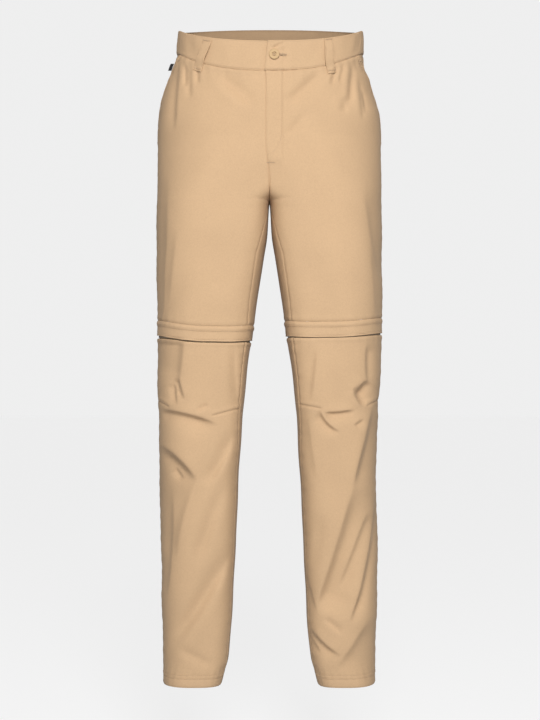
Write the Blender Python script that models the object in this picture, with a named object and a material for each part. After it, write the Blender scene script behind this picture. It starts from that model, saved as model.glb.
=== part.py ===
"""Outdoor trousers with zip-off lower legs, worn form with no wearer. Metres, +Z up, front towards -Y.

The origin is the middle of the waist, level with the top edge at the sides.
Left and right are the wearer's own, so the left leg lies towards +X.
"""
import math
from collections import namedtuple

import bmesh
import bpy
from mathutils import Matrix, Vector

# Cloth thickness and the gap that stands for a seam
WALL = 0.0015
BAND_WALL = 0.0025
FLAP_WALL = 0.0020
HEM_WALL = 0.0024
SEAM = 0.0003
LAP_GAP = 0.0004

# Heights of the cut, at the side seam
CROTCH_Z = -0.2820
BAND_TOP_DIP_FRONT = -0.0320
BAND_TOP_RISE_BACK = 0.0190
BAND_TOP_POWER = 1.5
BAND_BOTTOM_Z = -0.0387
BAND_BOTTOM_DIP_FRONT = -0.0404
BAND_BOTTOM_RISE_BACK = 0.0127
BAND_BOTTOM_POWER = 2.1
HEM_Z = -1.0555
HEM_TURN_UP = 0.0220

# The seam above each leg flap runs slightly down towards the inside leg and dips in front
FLAP_SEAM = {"right": {"inner": -0.4785, "outer": -0.4700, "front_dip": 0.0058},
             "left": {"inner": -0.4715, "outer": -0.4662, "front_dip": 0.0044}}
FLAP_LENGTH = 0.0236
FLAP_STAND_OFF = 0.0016
FLAP_RIDGE = 0.0010
# Below the flap a narrow gap shows the zip tape, wider at the side and inside than in front
ZIP_GAP = {"right": {"inner": 0.0036, "middle": 0.0026, "outer": 0.0056},
           "left": {"inner": 0.0034, "middle": 0.0017, "outer": 0.0038}}
ZIP_TOP_DROP = 0.0010
ZIP_TUCK = 0.0080
ZIP_SINK = 0.0022

# Centre front: the left side laps over the right one
FLY_EDGE_X = -0.0050
FLY_WIDTH = 0.0250
FLY_RAISE = 0.0012
FLY_BOTTOM_Z = -0.2250
FLY_STRAIGHT_Z = -0.1950
FLY_BLEND_Z = -0.2550
BAND_END_X_TOP = -0.0030
BAND_END_X_BOTTOM = -0.0080
BAND_OVERLAP = 0.0340
BAND_RAISE = 0.0013
BAND_UNDERLAP_EASE = 0.0120

# Slanted side pockets
POCKET_TOP_INSET = 0.0430
POCKET_BOTTOM_Z = -0.1850
FACING_ROWS = 8
FACING_STEPS = 3

# Belt loops: where they cross the band, their lean and where they end
LOOP_WIDTH = 0.0132
LOOP_WALL = 0.0014
LOOP_STAND_OFF = 0.0034
LOOP_SEAT = 0.0006
LOOP_BELOW_BAND = 0.0140
LOOP_ROWS = (0.0, 0.10, 0.20, 0.32, 0.46, 0.60, 0.72, 0.82, 0.91, 1.0)
LOOP_RISE = (0.06, 0.34)
LOOP_FALL = (0.58, 0.88)
Loop = namedtuple("Loop", "name leg face x_top x_bottom drop_from_top")
LOOPS = (
    ("belt_loop_front_right", "right", "front", 0.0985, 0.1045, 0.0040),
    ("belt_loop_front_left", "left", "front", 0.0930, 0.0920, 0.0005),
    ("belt_loop_side_back_right", "right", "back", 0.0900, 0.0920, 0.0010),
    ("belt_loop_side_back_left", "left", "back", 0.0900, 0.0920, 0.0010),
    ("belt_loop_centre_back", "left", "back", 0.0000, 0.0000, 0.0010),
)

# Waist button
BUTTON_X = 0.0074
BUTTON_Z = -0.0552
BUTTON_RADIUS = 0.0082
BUTTON_HEIGHT = 0.0036
BUTTON_SEGMENTS = 24

# Folded tab in the right side seam
TAB_TOP_Z = -0.0525
TAB_HEIGHT = 0.0110
TAB_REACH = 0.0055
TAB_THICKNESS = 0.0018

# One row for each level of a leg. Inner and outer are distances from the middle of the garment,
# front and back are depths from the origin. Above the crotch the inner edge lies past the middle,
# and the leg is cut there, which gives the curve of the crotch seam. The front of a leg is squarer
# towards its inner edge.
RING_COLUMNS = (
    "height", "inner", "outer_right", "outer_left", "front", "back", "squareness", "front_inner_squareness",
    "inseam_degrees",
)
RINGS = (
    (0.0300, -0.1470, 0.1465, 0.1500, -0.0985, 0.0960, 2.30, 2.30, 0.0),
    (0.0000, -0.1490, 0.1480, 0.1515, -0.1000, 0.0985, 2.30, 2.30, 0.0),
    (-0.0400, -0.1515, 0.1510, 0.1528, -0.1018, 0.1030, 2.30, 2.30, 0.0),
    (-0.0600, -0.1565, 0.1585, 0.1548, -0.1030, 0.1070, 2.30, 2.30, 0.0),
    (-0.0790, -0.1640, 0.1650, 0.1630, -0.1042, 0.1120, 2.32, 2.32, 0.0),
    (-0.1000, -0.1700, 0.1718, 0.1682, -0.1062, 0.1175, 2.35, 2.35, 0.0),
    (-0.1200, -0.1750, 0.1765, 0.1742, -0.1085, 0.1230, 2.38, 2.38, 0.0),
    (-0.1400, -0.1790, 0.1788, 0.1790, -0.1105, 0.1275, 2.40, 2.40, 0.0),
    (-0.1750, -0.1800, 0.1810, 0.1806, -0.1130, 0.1320, 2.42, 2.42, 0.0),
    (-0.1950, -0.1560, 0.1812, 0.1806, -0.1138, 0.1318, 2.44, 2.44, 0.0),
    (-0.2150, -0.1180, 0.1814, 0.1808, -0.1140, 0.1290, 2.46, 2.50, 0.0),
    (-0.2350, -0.0760, 0.1816, 0.1810, -0.1140, 0.1240, 2.46, 2.70, 0.0),
    (-0.2500, -0.0450, 0.1820, 0.1812, -0.1138, 0.1190, 2.44, 3.40, 0.0),
    (-0.2650, -0.0200, 0.1824, 0.1814, -0.1134, 0.1135, 2.42, 4.80, 0.0),
    (-0.2750, -0.0060, 0.1826, 0.1816, -0.1130, 0.1095, 2.40, 5.60, 0.0),
    (-0.2820, 0.0001, 0.1828, 0.1818, -0.1128, 0.1070, 2.40, 5.60, 0.0),
    (-0.2950, 0.0012, 0.1829, 0.1820, -0.1124, 0.1025, 2.40, 5.00, 14.4),
    (-0.3325, 0.0034, 0.1829, 0.1820, -0.1112, 0.0930, 2.38, 3.90, 32.9),
    (-0.3715, 0.0094, 0.1828, 0.1818, -0.1098, 0.0865, 2.36, 3.50, 39.6),
    (-0.4300, 0.0186, 0.1815, 0.1818, -0.1070, 0.0790, 2.34, 3.30, 38.7),
    (-0.4885, 0.0268, 0.1812, 0.1812, -0.1035, 0.0720, 2.32, 3.20, 34.9),
    (-0.5470, 0.0350, 0.1800, 0.1800, -0.0995, 0.0655, 2.30, 3.10, 32.3),
    (-0.5860, 0.0394, 0.1798, 0.1760, -0.0968, 0.0615, 2.30, 3.00, 30.7),
    (-0.6055, 0.0416, 0.1796, 0.1740, -0.0952, 0.0600, 2.30, 3.00, 29.5),
    (-0.6250, 0.0438, 0.1786, 0.1755, -0.0938, 0.0600, 2.30, 3.00, 27.3),
    (-0.6640, 0.0463, 0.1782, 0.1738, -0.0908, 0.0640, 2.28, 2.90, 24.7),
    (-0.7420, 0.0503, 0.1780, 0.1722, -0.0848, 0.0705, 2.26, 2.85, 22.4),
    (-0.8200, 0.0542, 0.1766, 0.1752, -0.0780, 0.0735, 2.26, 2.80, 22.2),
    (-0.8980, 0.0582, 0.1748, 0.1754, -0.0708, 0.0710, 2.26, 2.75, 22.0),
    (-0.9760, 0.0624, 0.1732, 0.1722, -0.0632, 0.0675, 2.26, 2.70, 21.8),
    (-1.0150, 0.0656, 0.1730, 0.1720, -0.0594, 0.0660, 2.26, 2.65, 21.6),
    (-1.0700, 0.0690, 0.1722, 0.1720, -0.0550, 0.0650, 2.26, 2.60, 21.4),
)

# The largest folds. Ends are distances from the middle of the garment and heights, width is
# that of the trough, depth is how far it sinks, and bow bends it towards its left when positive.
Fold = namedtuple("Fold", "leg face start_x start_z end_x end_z width depth bow")
FOLDS = (
    ("right", "front", 0.080, -0.083, 0.026, -0.134, 0.015, 0.0026, 0.000),
    ("right", "front", 0.164, -0.285, 0.170, -0.440, 0.013, 0.0042, 0.000),
    ("right", "front", 0.138, -0.519, 0.136, -0.597, 0.012, 0.0056, -0.007),
    ("right", "front", 0.056, -0.520, 0.055, -0.596, 0.013, 0.0030, 0.000),
    ("right", "front", 0.153, -0.619, 0.084, -0.635, 0.012, 0.0072, 0.005),
    ("right", "front", 0.174, -0.673, 0.112, -0.724, 0.013, 0.0080, 0.002),
    ("right", "front", 0.062, -0.652, 0.100, -0.730, 0.016, 0.0050, 0.000),
    ("right", "front", 0.162, -0.786, 0.166, -0.900, 0.014, 0.0044, 0.000),
    ("right", "front", 0.068, -0.834, 0.154, -0.978, 0.018, 0.0062, 0.004),
    ("right", "front", 0.084, -0.755, 0.146, -0.850, 0.017, 0.0034, 0.000),
    ("right", "front", 0.105, -0.900, 0.080, -0.985, 0.016, -0.0020, 0.000),
    ("left", "front", 0.096, -0.080, 0.024, -0.134, 0.015, 0.0026, 0.000),
    ("left", "front", 0.162, -0.171, 0.171, -0.266, 0.015, 0.0040, 0.000),
    ("left", "front", 0.150, -0.290, 0.175, -0.404, 0.013, 0.0040, 0.000),
    ("left", "front", 0.077, -0.522, 0.066, -0.600, 0.013, 0.0034, 0.000),
    ("left", "front", 0.157, -0.526, 0.133, -0.590, 0.014, 0.0060, -0.005),
    ("left", "front", 0.133, -0.588, 0.154, -0.608, 0.012, 0.0044, 0.000),
    ("left", "front", 0.090, -0.618, 0.134, -0.614, 0.011, 0.0054, -0.002),
    ("left", "front", 0.081, -0.616, 0.110, -0.646, 0.011, 0.0046, 0.000),
    ("left", "front", 0.167, -0.606, 0.134, -0.727, 0.014, 0.0090, 0.003),
    ("left", "front", 0.131, -0.728, 0.141, -0.804, 0.017, 0.0044, 0.000),
    ("left", "front", 0.153, -0.805, 0.078, -0.929, 0.017, 0.0064, 0.005),
    ("left", "front", 0.168, -0.820, 0.130, -0.946, 0.014, 0.0052, 0.006),
    ("left", "front", 0.064, -0.961, 0.114, -1.006, 0.012, 0.0052, -0.003),
    ("left", "front", 0.162, -0.972, 0.126, -1.024, 0.016, 0.0034, 0.000),
    ("right", "back", 0.015, -0.262, 0.118, -0.312, 0.015, 0.0048, 0.006),
    ("left", "back", 0.020, -0.268, 0.124, -0.306, 0.015, 0.0044, 0.007),
    ("right", "back", 0.040, -0.335, 0.135, -0.352, 0.016, 0.0034, 0.004),
    ("left", "back", 0.034, -0.345, 0.120, -0.372, 0.016, 0.0036, 0.004),
    ("right", "back", 0.150, -0.372, 0.075, -0.440, 0.016, 0.0030, 0.000),
    ("left", "back", 0.156, -0.390, 0.092, -0.446, 0.016, 0.0030, 0.000),
    ("right", "back", 0.056, -0.562, 0.160, -0.590, 0.013, 0.0056, 0.005),
    ("left", "back", 0.050, -0.570, 0.152, -0.600, 0.013, 0.0058, 0.005),
    ("right", "back", 0.052, -0.622, 0.150, -0.612, 0.013, 0.0056, -0.004),
    ("left", "back", 0.056, -0.634, 0.158, -0.628, 0.013, 0.0052, -0.004),
    ("right", "back", 0.168, -0.652, 0.086, -0.702, 0.015, 0.0050, 0.004),
    ("left", "back", 0.164, -0.668, 0.090, -0.722, 0.015, 0.0048, 0.004),
    ("right", "back", 0.066, -0.770, 0.150, -0.866, 0.017, 0.0046, 0.000),
    ("left", "back", 0.070, -0.790, 0.146, -0.880, 0.017, 0.0044, 0.000),
    ("right", "back", 0.160, -0.905, 0.088, -0.968, 0.015, 0.0046, 0.004),
    ("left", "back", 0.158, -0.918, 0.092, -0.976, 0.015, 0.0046, 0.004),
    ("right", "back", 0.078, -1.000, 0.150, -1.018, 0.013, 0.0030, 0.003),
    ("left", "back", 0.080, -1.008, 0.148, -1.022, 0.013, 0.0030, 0.003),
)

# How a fold fades along its length, how far across it is felt, and the blend of front and back at the sides
FOLD_START_FADE = (-0.18, 0.22)
FOLD_END_FADE = (0.74, 1.16)
FOLD_REACH = 12.0
FACE_BLEND = 0.30

# Mesh rows, as heights at the side seam. They lie close together at the crotch and at the knee.
UPPER_ROWS = (
    -0.0390, -0.0540, -0.0720, -0.0900, -0.1100, -0.1300, -0.1500, -0.1700, -0.1900, -0.2080,
    -0.2240, -0.2380, -0.2500, -0.2600, -0.2690, -0.2760, -0.2805, -0.2840, -0.2920, -0.3060,
    -0.3260, -0.3500, -0.3760, -0.4020, -0.4280, -0.4520, -0.4755,
)
LOWER_ROWS = (
    -0.4985, -0.5090, -0.5230, -0.5400, -0.5580, -0.5750, -0.5900, -0.6030, -0.6150, -0.6270,
    -0.6400, -0.6550, -0.6710, -0.6870, -0.7030, -0.7200, -0.7390, -0.7600, -0.7820, -0.8040,
    -0.8260, -0.8480, -0.8700, -0.8920, -0.9140, -0.9350, -0.9550, -0.9740, -0.9920, -1.0090,
    -1.0300, -1.0335, HEM_Z,
)
TOP_SETTLE_Z = -0.1650
BOTTOM_SETTLE_Z = -0.4000
LOWER_SETTLE_Z = -0.5400
# Beside the crotch the front's columns keep to a line, so that the turn of the crotch does not skew them
HELD_X = 0.0320
HELD_SHARE = 0.36
HELD_ABOVE = (-0.2400, -0.1700)
HELD_BELOW = (-0.4000, -0.3000)
FRONT_COLUMNS = 11
BACK_COLUMNS = 9
BAND_FRONT_COLUMNS = 16
BAND_BACK_COLUMNS = 28
BAND_ROWS = 3
FLAP_STEPS = 2
FLAP_ROWS = 3
ARC_STEPS = 96

# Colour, roughness and metallic of each material
MATERIALS = {
    "tan cloth": ((0.62, 0.45, 0.27), 0.85, 0.0),
    "tan zip tape": ((0.50, 0.36, 0.21), 0.80, 0.0),
    "tan button": ((0.60, 0.44, 0.26), 0.40, 0.0),
    "dark tape": ((0.012, 0.012, 0.013), 0.75, 0.0),
}


def clear_scene():
    """Start from an empty file"""
    for item in list(bpy.data.objects):
        bpy.data.objects.remove(item, do_unlink=True)


def make_materials():
    """One plain material for each finish"""
    made = {}
    for name, (colour, roughness, metallic) in MATERIALS.items():
        material = bpy.data.materials.new(name)
        material.use_nodes = True
        shader = material.node_tree.nodes["Principled BSDF"]
        shader.inputs["Base Color"].default_value = (*colour, 1.0)
        shader.inputs["Roughness"].default_value = roughness
        shader.inputs["Metallic"].default_value = metallic
        made[name] = material
    return made


def smooth_step(value, low, high):
    """0 below low, 1 above high and a soft rise between"""
    share = min(max((value - low) / (high - low), 0.0), 1.0)
    return share * share * (3.0 - 2.0 * share)


def curve_slopes(heights, values):
    """Slopes of a smooth curve through the values that never swings past them"""
    steps = [(values[i + 1] - values[i]) / (heights[i + 1] - heights[i]) for i in range(len(values) - 1)]
    slopes = [steps[0]]
    for before, after in zip(steps, steps[1:]):
        slopes.append(0.0 if before * after <= 0.0 else 2.0 * before * after / (before + after))
    slopes.append(steps[-1])
    return slopes


HEIGHTS = [row[0] for row in RINGS]
CURVES = {}
for column, title in enumerate(RING_COLUMNS):
    column_values = [row[column] for row in RINGS]
    CURVES[title] = (column_values, curve_slopes(HEIGHTS, column_values))


def ring_value(title, height):
    """Value of one ring column at any height"""
    values, slopes = CURVES[title]
    height = min(max(height, HEIGHTS[-1]), HEIGHTS[0])
    index = 0
    while index < len(HEIGHTS) - 2 and height < HEIGHTS[index + 1]:
        index += 1
    span = HEIGHTS[index + 1] - HEIGHTS[index]
    t = (height - HEIGHTS[index]) / span
    start, end = values[index], values[index + 1]
    rise_start, rise_end = slopes[index] * span, slopes[index + 1] * span
    return (start * (2 * t ** 3 - 3 * t ** 2 + 1) + rise_start * (t ** 3 - 2 * t ** 2 + t)
            + end * (3 * t ** 2 - 2 * t ** 3) + rise_end * (t ** 3 - t ** 2))


def ring_sizes(leg, height):
    """Middle and half width, and middle and half depth, of a leg's ring"""
    inner = ring_value("inner", height)
    outer = ring_value("outer_" + leg, height)
    front = ring_value("front", height)
    back = ring_value("back", height)
    return 0.5 * (inner + outer), 0.5 * (outer - inner), 0.5 * (front + back), 0.5 * (back - front)


def ring_squareness(height, front_inner):
    """Squareness of a ring, on the inner half of its front or elsewhere"""
    return ring_value("front_inner_squareness" if front_inner else "squareness", height)


def rounded_power(value, power):
    """Power that keeps the sign"""
    return math.copysign(abs(value) ** power, value)


def plain_point(leg, angle, height):
    """Point of a leg's ring before folds, with the leg towards +X. Angles start at the inside leg
    and grow over the front to the side seam, and they are negative over the back."""
    middle_x, half_width, middle_y, half_depth = ring_sizes(leg, height)
    power = 2.0 / ring_squareness(height, math.cos(angle) > 0.0 and math.sin(angle) > 0.0)
    x = middle_x - half_width * rounded_power(math.cos(angle), power)
    y = middle_y - half_depth * rounded_power(math.sin(angle), power)
    return x, y


def fold_offset(leg, face_share, x, height):
    """How far the folds move the cloth outwards, where face_share is 1 in front and 0 behind"""
    total = 0.0
    for fold in map(Fold._make, FOLDS):
        if fold.leg != leg:
            continue
        share = face_share if fold.face == "front" else 1.0 - face_share
        if share <= 0.0:
            continue
        run_x, run_z = fold.end_x - fold.start_x, fold.end_z - fold.start_z
        length = math.hypot(run_x, run_z)
        from_x, from_z = x - fold.start_x, height - fold.start_z
        along = (from_x * run_x + from_z * run_z) / length ** 2
        across = (from_x * run_z - from_z * run_x) / length
        bend = 4.0 * fold.bow * max(along, 0.0) * max(1.0 - along, 0.0)
        square = ((across - bend) / fold.width) ** 2
        if square > FOLD_REACH:
            continue
        ends = smooth_step(along, *FOLD_START_FADE) * (1.0 - smooth_step(along, *FOLD_END_FADE))
        total -= fold.depth * ends * share * (1.0 - 0.5 * square) * math.exp(-0.5 * square)
    return total


def fly_offset(leg, face_share, x, height):
    """The layers below the fly lift the left front"""
    if leg != "left" or face_share < 0.5:
        return 0.0
    across = 1.0 - smooth_step(x, FLY_EDGE_X + FLY_WIDTH, FLY_EDGE_X + FLY_WIDTH + 0.010)
    return FLY_RAISE * across * smooth_step(height, FLY_BOTTOM_Z - 0.006, FLY_BOTTOM_Z + 0.010)


def cloth_point(leg, angle, height):
    """Point of the outer face of the cloth with its folds, and the leg towards +X"""
    middle_x, half_width, middle_y, half_depth = ring_sizes(leg, height)
    x, y = plain_point(leg, angle, height)
    front_share = smooth_step((middle_y - y) / half_depth, -FACE_BLEND, FACE_BLEND)
    move = fold_offset(leg, front_share, x, height)
    forwards = fly_offset(leg, front_share, x, height)
    out_x, out_y = (x - middle_x) / half_width ** 2, (y - middle_y) / half_depth ** 2
    size = math.hypot(out_x, out_y)
    return Vector((x + move * out_x / size, y + move * out_y / size - forwards, height))


def cloth_normal(leg, angle, height):
    """Outward direction of the cloth"""
    turn, drop = 0.02, 0.002
    around = cloth_point(leg, angle + turn, height) - cloth_point(leg, angle - turn, height)
    upwards = cloth_point(leg, angle, height + drop) - cloth_point(leg, angle, height - drop)
    return around.cross(upwards).normalized()


def place(leg, angle, height, offset):
    """World point on the cloth, moved out by offset"""
    point = cloth_point(leg, angle, height) + offset * cloth_normal(leg, angle, height)
    if leg == "right":
        point.x = -point.x
    return point


def angle_at_x(leg, height, x, face):
    """Angle at which a ring passes a distance from the middle, on the front or the back"""
    middle_x, half_width, _, _ = ring_sizes(leg, height)
    share = min(max((middle_x - x) / half_width, -1.0), 1.0)
    squareness = ring_squareness(height, share > 0.0 and face == "front")
    angle = math.acos(rounded_power(share, 0.5 * squareness))
    return angle if face == "front" else -angle


def centre_front_x(leg, height):
    """Where the front of a leg ends at the middle: the fly edge lies to the wearer's right"""
    edge = FLY_EDGE_X * smooth_step(height, FLY_BLEND_Z, FLY_STRAIGHT_Z)
    return (edge if leg == "left" else -edge) + 0.5 * SEAM


def start_angle(leg, height, face):
    """Angle of the centre seam, or below the crotch of the inside leg seam"""
    if height <= CROTCH_Z:
        return math.radians(ring_value("inseam_degrees", height))
    cut = centre_front_x(leg, height) if face == "front" else 0.5 * SEAM
    return angle_at_x(leg, height, cut, face)


def arc_table(leg, height, start, end):
    """Angles and lengths along a ring between two angles"""
    angles = [start + (end - start) * i / ARC_STEPS for i in range(ARC_STEPS + 1)]
    lengths = [0.0]
    before = plain_point(leg, angles[0], height)
    for angle in angles[1:]:
        after = plain_point(leg, angle, height)
        lengths.append(lengths[-1] + math.dist(before, after))
        before = after
    return angles, lengths


def angle_at_length(table, length):
    """Angle at a length along an arc table"""
    angles, lengths = table
    length = min(max(length, 0.0), lengths[-1])
    index = 0
    while index < len(lengths) - 2 and lengths[index + 1] < length:
        index += 1
    share = (length - lengths[index]) / max(lengths[index + 1] - lengths[index], 1e-9)
    return angles[index] + share * (angles[index + 1] - angles[index])


def spread_angles(leg, height, face, columns, start_trim, end_trim):
    """Evenly spread angles from the middle or inside leg to the side seam"""
    side = math.pi if face == "front" else -math.pi
    table = arc_table(leg, height, start_angle(leg, height, face), side)
    usable = table[1][-1] - start_trim - end_trim
    return [angle_at_length(table, start_trim + usable * i / columns) for i in range(columns + 1)]


def held_angles(leg, height, columns, start_trim, end_trim):
    """Angles across a front, drawn towards a held line beside the crotch"""
    table = arc_table(leg, height, start_angle(leg, height, "front"), math.pi)
    usable = table[1][-1] - start_trim - end_trim
    held_angle = angle_at_x(leg, height, HELD_X, "front")
    steps = (held_angle - table[0][0]) / (table[0][-1] - table[0][0]) * ARC_STEPS
    below = min(max(int(steps), 0), ARC_STEPS - 1)
    fixed = table[1][below] + (steps - below) * (table[1][below + 1] - table[1][below]) - start_trim
    weight = smooth_step(height, *HELD_BELOW) * (1.0 - smooth_step(height, *HELD_ABOVE))
    even = HELD_SHARE * usable
    line = even + (fixed - even) * weight
    angles = []
    for i in range(columns + 1):
        length = usable * i / columns
        if length < even:
            length *= line / even
        else:
            length = line + (length - even) * (usable - line) / (usable - even)
        angles.append(angle_at_length(table, start_trim + length))
    return angles


def reach_from_side(leg, height, distance):
    """Angle on the front at a distance from the side seam"""
    table = arc_table(leg, height, 0.5 * math.pi, math.pi)
    return angle_at_length(table, table[1][-1] - distance)


def depth_share(angle, squareness):
    """0 at the side seam and 1 at the centre front or centre back"""
    return abs(math.sin(angle)) ** (2.0 / squareness)


def band_bottom(angle):
    """Height of the seam below the waistband"""
    squareness = ring_value("squareness", BAND_BOTTOM_Z)
    change = BAND_BOTTOM_DIP_FRONT if angle > 0.0 else BAND_BOTTOM_RISE_BACK
    return BAND_BOTTOM_Z + change * depth_share(angle, squareness) ** BAND_BOTTOM_POWER


def band_top(angle):
    """Height of the waistband's top edge"""
    squareness = ring_value("squareness", 0.0)
    change = BAND_TOP_DIP_FRONT if angle > 0.0 else BAND_TOP_RISE_BACK
    return change * depth_share(angle, squareness) ** BAND_TOP_POWER


def flap_seam(leg, angle):
    """Height of the seam above a leg flap"""
    inside = 0.5 + 0.5 * math.cos(angle)
    heights = FLAP_SEAM[leg]
    dip = heights["front_dip"] * max(math.sin(angle), 0.0) ** 3
    return heights["outer"] + (heights["inner"] - heights["outer"]) * inside - dip


def new_object(name, mesh_builder, material, sharp_degrees=40.0):
    """Turn a finished bmesh into an object"""
    bmesh.ops.recalc_face_normals(mesh_builder, faces=mesh_builder.faces)
    mesh = bpy.data.meshes.new(name)
    mesh_builder.to_mesh(mesh)
    mesh_builder.free()
    mesh.shade_smooth()
    mesh.set_sharp_from_angle(angle=math.radians(sharp_degrees))
    mesh.materials.append(material)
    made = bpy.data.objects.new(name, mesh)
    bpy.context.scene.collection.objects.link(made)
    return made


def wall(name, outer, inner, material, closed=False):
    """Closed cloth wall from two grids of points, rows from top to bottom"""
    builder = bmesh.new()
    outer_verts = [[builder.verts.new(point) for point in row] for row in outer]
    inner_verts = [[builder.verts.new(point) for point in row] for row in inner]
    rows, columns = len(outer), len(outer[0])
    pairs = [(j, (j + 1) % columns) for j in range(columns if closed else columns - 1)]
    for i in range(rows - 1):
        for j, k in pairs:
            for grid, turned in ((outer_verts, False), (inner_verts, True)):
                corners = [grid[i][j], grid[i][k], grid[i + 1][k], grid[i + 1][j]]
                builder.faces.new(corners[::-1] if turned else corners)
    for j, k in pairs:
        builder.faces.new((outer_verts[0][j], inner_verts[0][j], inner_verts[0][k], outer_verts[0][k]))
        builder.faces.new((outer_verts[-1][j], outer_verts[-1][k], inner_verts[-1][k], inner_verts[-1][j]))
    if not closed:
        for i in range(rows - 1):
            for j in (0, columns - 1):
                edge = (outer_verts[i][j], outer_verts[i + 1][j], inner_verts[i + 1][j], inner_verts[i][j])
                builder.faces.new(edge)
    return new_object(name, builder, material)


def wall_on_cloth(name, leg, rows, material, closed=False):
    """Wall whose rows list (angle, height, outer offset, thickness) on a leg's cloth"""
    outer = [[place(leg, angle, height, offset) for angle, height, offset, _ in row] for row in rows]
    inner = [[place(leg, angle, height, offset - thick) for angle, height, offset, thick in row]
             for row in rows]
    return wall(name, outer, inner, material, closed)


def pocket_inset(level):
    """Distance of the pocket mouth from the side seam"""
    share = (level - POCKET_BOTTOM_Z) / (UPPER_ROWS[0] - POCKET_BOTTOM_Z)
    return POCKET_TOP_INSET * min(max(share, 0.0), 1.0) ** 1.2


def upper_height(leg, angle, level):
    """Height of a mesh row of the upper leg, which follows the waistband and the flap seam"""
    top_fade = min(max((level - TOP_SETTLE_Z) / (UPPER_ROWS[0] - TOP_SETTLE_Z), 0.0), 1.0)
    bottom_fade = min(max((BOTTOM_SETTLE_Z - level) / (BOTTOM_SETTLE_Z - UPPER_ROWS[-1]), 0.0), 1.0)
    top_move = band_bottom(angle) - SEAM - UPPER_ROWS[0]
    bottom_move = flap_seam(leg, angle) - UPPER_ROWS[-1]
    return level + top_fade * top_move + bottom_fade * bottom_move


def upper_angles(leg, face, level):
    """Angles of one mesh row of the upper leg. The front stops at the pocket mouth"""
    below = level <= CROTCH_Z
    start_trim = 0.5 * SEAM if below else 0.0
    side_trim = 0.5 * SEAM
    if face == "front":
        side_trim += pocket_inset(level)
        angles = held_angles(leg, level, FRONT_COLUMNS, start_trim, side_trim)
    else:
        angles = spread_angles(leg, level, face, BACK_COLUMNS, start_trim, side_trim)
    if not below:
        angles[0] = start_angle(leg, upper_height(leg, angles[0], level), face)
    return angles


def build_upper_leg(leg, face, material):
    """Front or back of the thigh and hip, from the waistband to the flap seam"""
    rows = []
    for level in UPPER_ROWS:
        angles = upper_angles(leg, face, level)
        rows.append([(angle, upper_height(leg, angle, level), 0.0, WALL) for angle in angles])
    return wall_on_cloth(f"{face}_upper_{leg}", leg, rows, material)


def zip_gap(leg, angle):
    """Height of the gap that shows the zip tape below a flap"""
    sizes = ZIP_GAP[leg]
    end = sizes["inner"] if math.cos(angle) > 0.0 else sizes["outer"]
    return sizes["middle"] + (end - sizes["middle"]) * math.cos(angle) ** 2


def build_lower_leg(leg, face, material):
    """Front or back of the zip-off leg, with a turned-up hem"""
    rows = []
    for level in LOWER_ROWS:
        columns = FRONT_COLUMNS if face == "front" else BACK_COLUMNS
        angles = spread_angles(leg, level, face, columns, 0.5 * SEAM, 0.5 * SEAM)
        thickness = HEM_WALL if level < HEM_Z + HEM_TURN_UP + 0.0005 else WALL
        row = []
        for angle in angles:
            fade = min(max((level - LOWER_SETTLE_Z) / (LOWER_ROWS[0] - LOWER_SETTLE_Z), 0.0), 1.0)
            top = flap_seam(leg, angle) - FLAP_LENGTH - zip_gap(leg, angle)
            height = level + fade * (top - LOWER_ROWS[0])
            row.append((angle, height, 0.0, thickness))
        rows.append(row)
    return wall_on_cloth(f"{face}_lower_{leg}", leg, rows, material)


def round_angles(leg, steps):
    """Angles all round a leg, on the columns of its panels and in steps between two columns"""
    front = spread_angles(leg, LOWER_ROWS[0], "front", FRONT_COLUMNS, 0.5 * SEAM, 0.5 * SEAM)
    back = spread_angles(leg, LOWER_ROWS[0], "back", BACK_COLUMNS, 0.5 * SEAM, 0.5 * SEAM)
    corners = front + [angle + 2.0 * math.pi for angle in back[-2:0:-1]]
    angles = []
    for before, after in zip(corners, corners[1:] + [corners[0] + 2.0 * math.pi]):
        for k in range(steps):
            angles.append(before + (after - before) * k / steps)
    return angles


def build_flap(leg, material):
    """Covering flap that stands off the zip"""
    angles = round_angles(leg, FLAP_STEPS)
    rows = []
    for i in range(FLAP_ROWS + 1):
        share = i / FLAP_ROWS
        offset = FLAP_STAND_OFF * share ** 2 + FLAP_RIDGE * math.sin(math.pi * min(2.0 * share, 1.0))
        thickness = WALL + (FLAP_WALL - WALL) * share
        drop = SEAM + share * FLAP_LENGTH
        rows.append([(angle, flap_seam(leg, angle) - drop, offset, thickness) for angle in angles])
    return wall_on_cloth(f"zip_flap_{leg}", leg, rows, material, closed=True)


def build_zip_tape(leg, material):
    """Plain tape ring of the closed leg zip, below the flap"""
    angles = round_angles(leg, 1)
    rows = []
    for share in (0.0, 0.5, 1.0):
        row = []
        for angle in angles:
            full_drop = FLAP_LENGTH + zip_gap(leg, angle) + ZIP_TUCK
            drop = ZIP_TOP_DROP + share * (full_drop - ZIP_TOP_DROP)
            row.append((angle, flap_seam(leg, angle) - drop, -ZIP_SINK, WALL))
        rows.append(row)
    return wall_on_cloth(f"zip_tape_{leg}", leg, rows, material, closed=True)


def build_pocket_facing(leg, material):
    """Cloth behind the slanted pocket mouth, from the side seam to one mesh column below the front"""
    rows = []
    for level in UPPER_ROWS[:FACING_ROWS]:
        angles = upper_angles(leg, "front", level)[-2:]
        inset = pocket_inset(level)
        for j in range(1, FACING_STEPS + 1):
            angles.append(reach_from_side(leg, level, SEAM + (inset - SEAM) * (1.0 - j / FACING_STEPS)))
        rows.append([(angle, upper_height(leg, angle, level), -(WALL + LAP_GAP), WALL) for angle in angles])
    return wall_on_cloth(f"pocket_facing_{leg}", leg, rows, material)


def band_end_x(share):
    """Leaning end of the overlapping waistband, where share is 0 at its top and 1 at its bottom"""
    return BAND_END_X_TOP + (BAND_END_X_BOTTOM - BAND_END_X_TOP) * share


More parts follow.
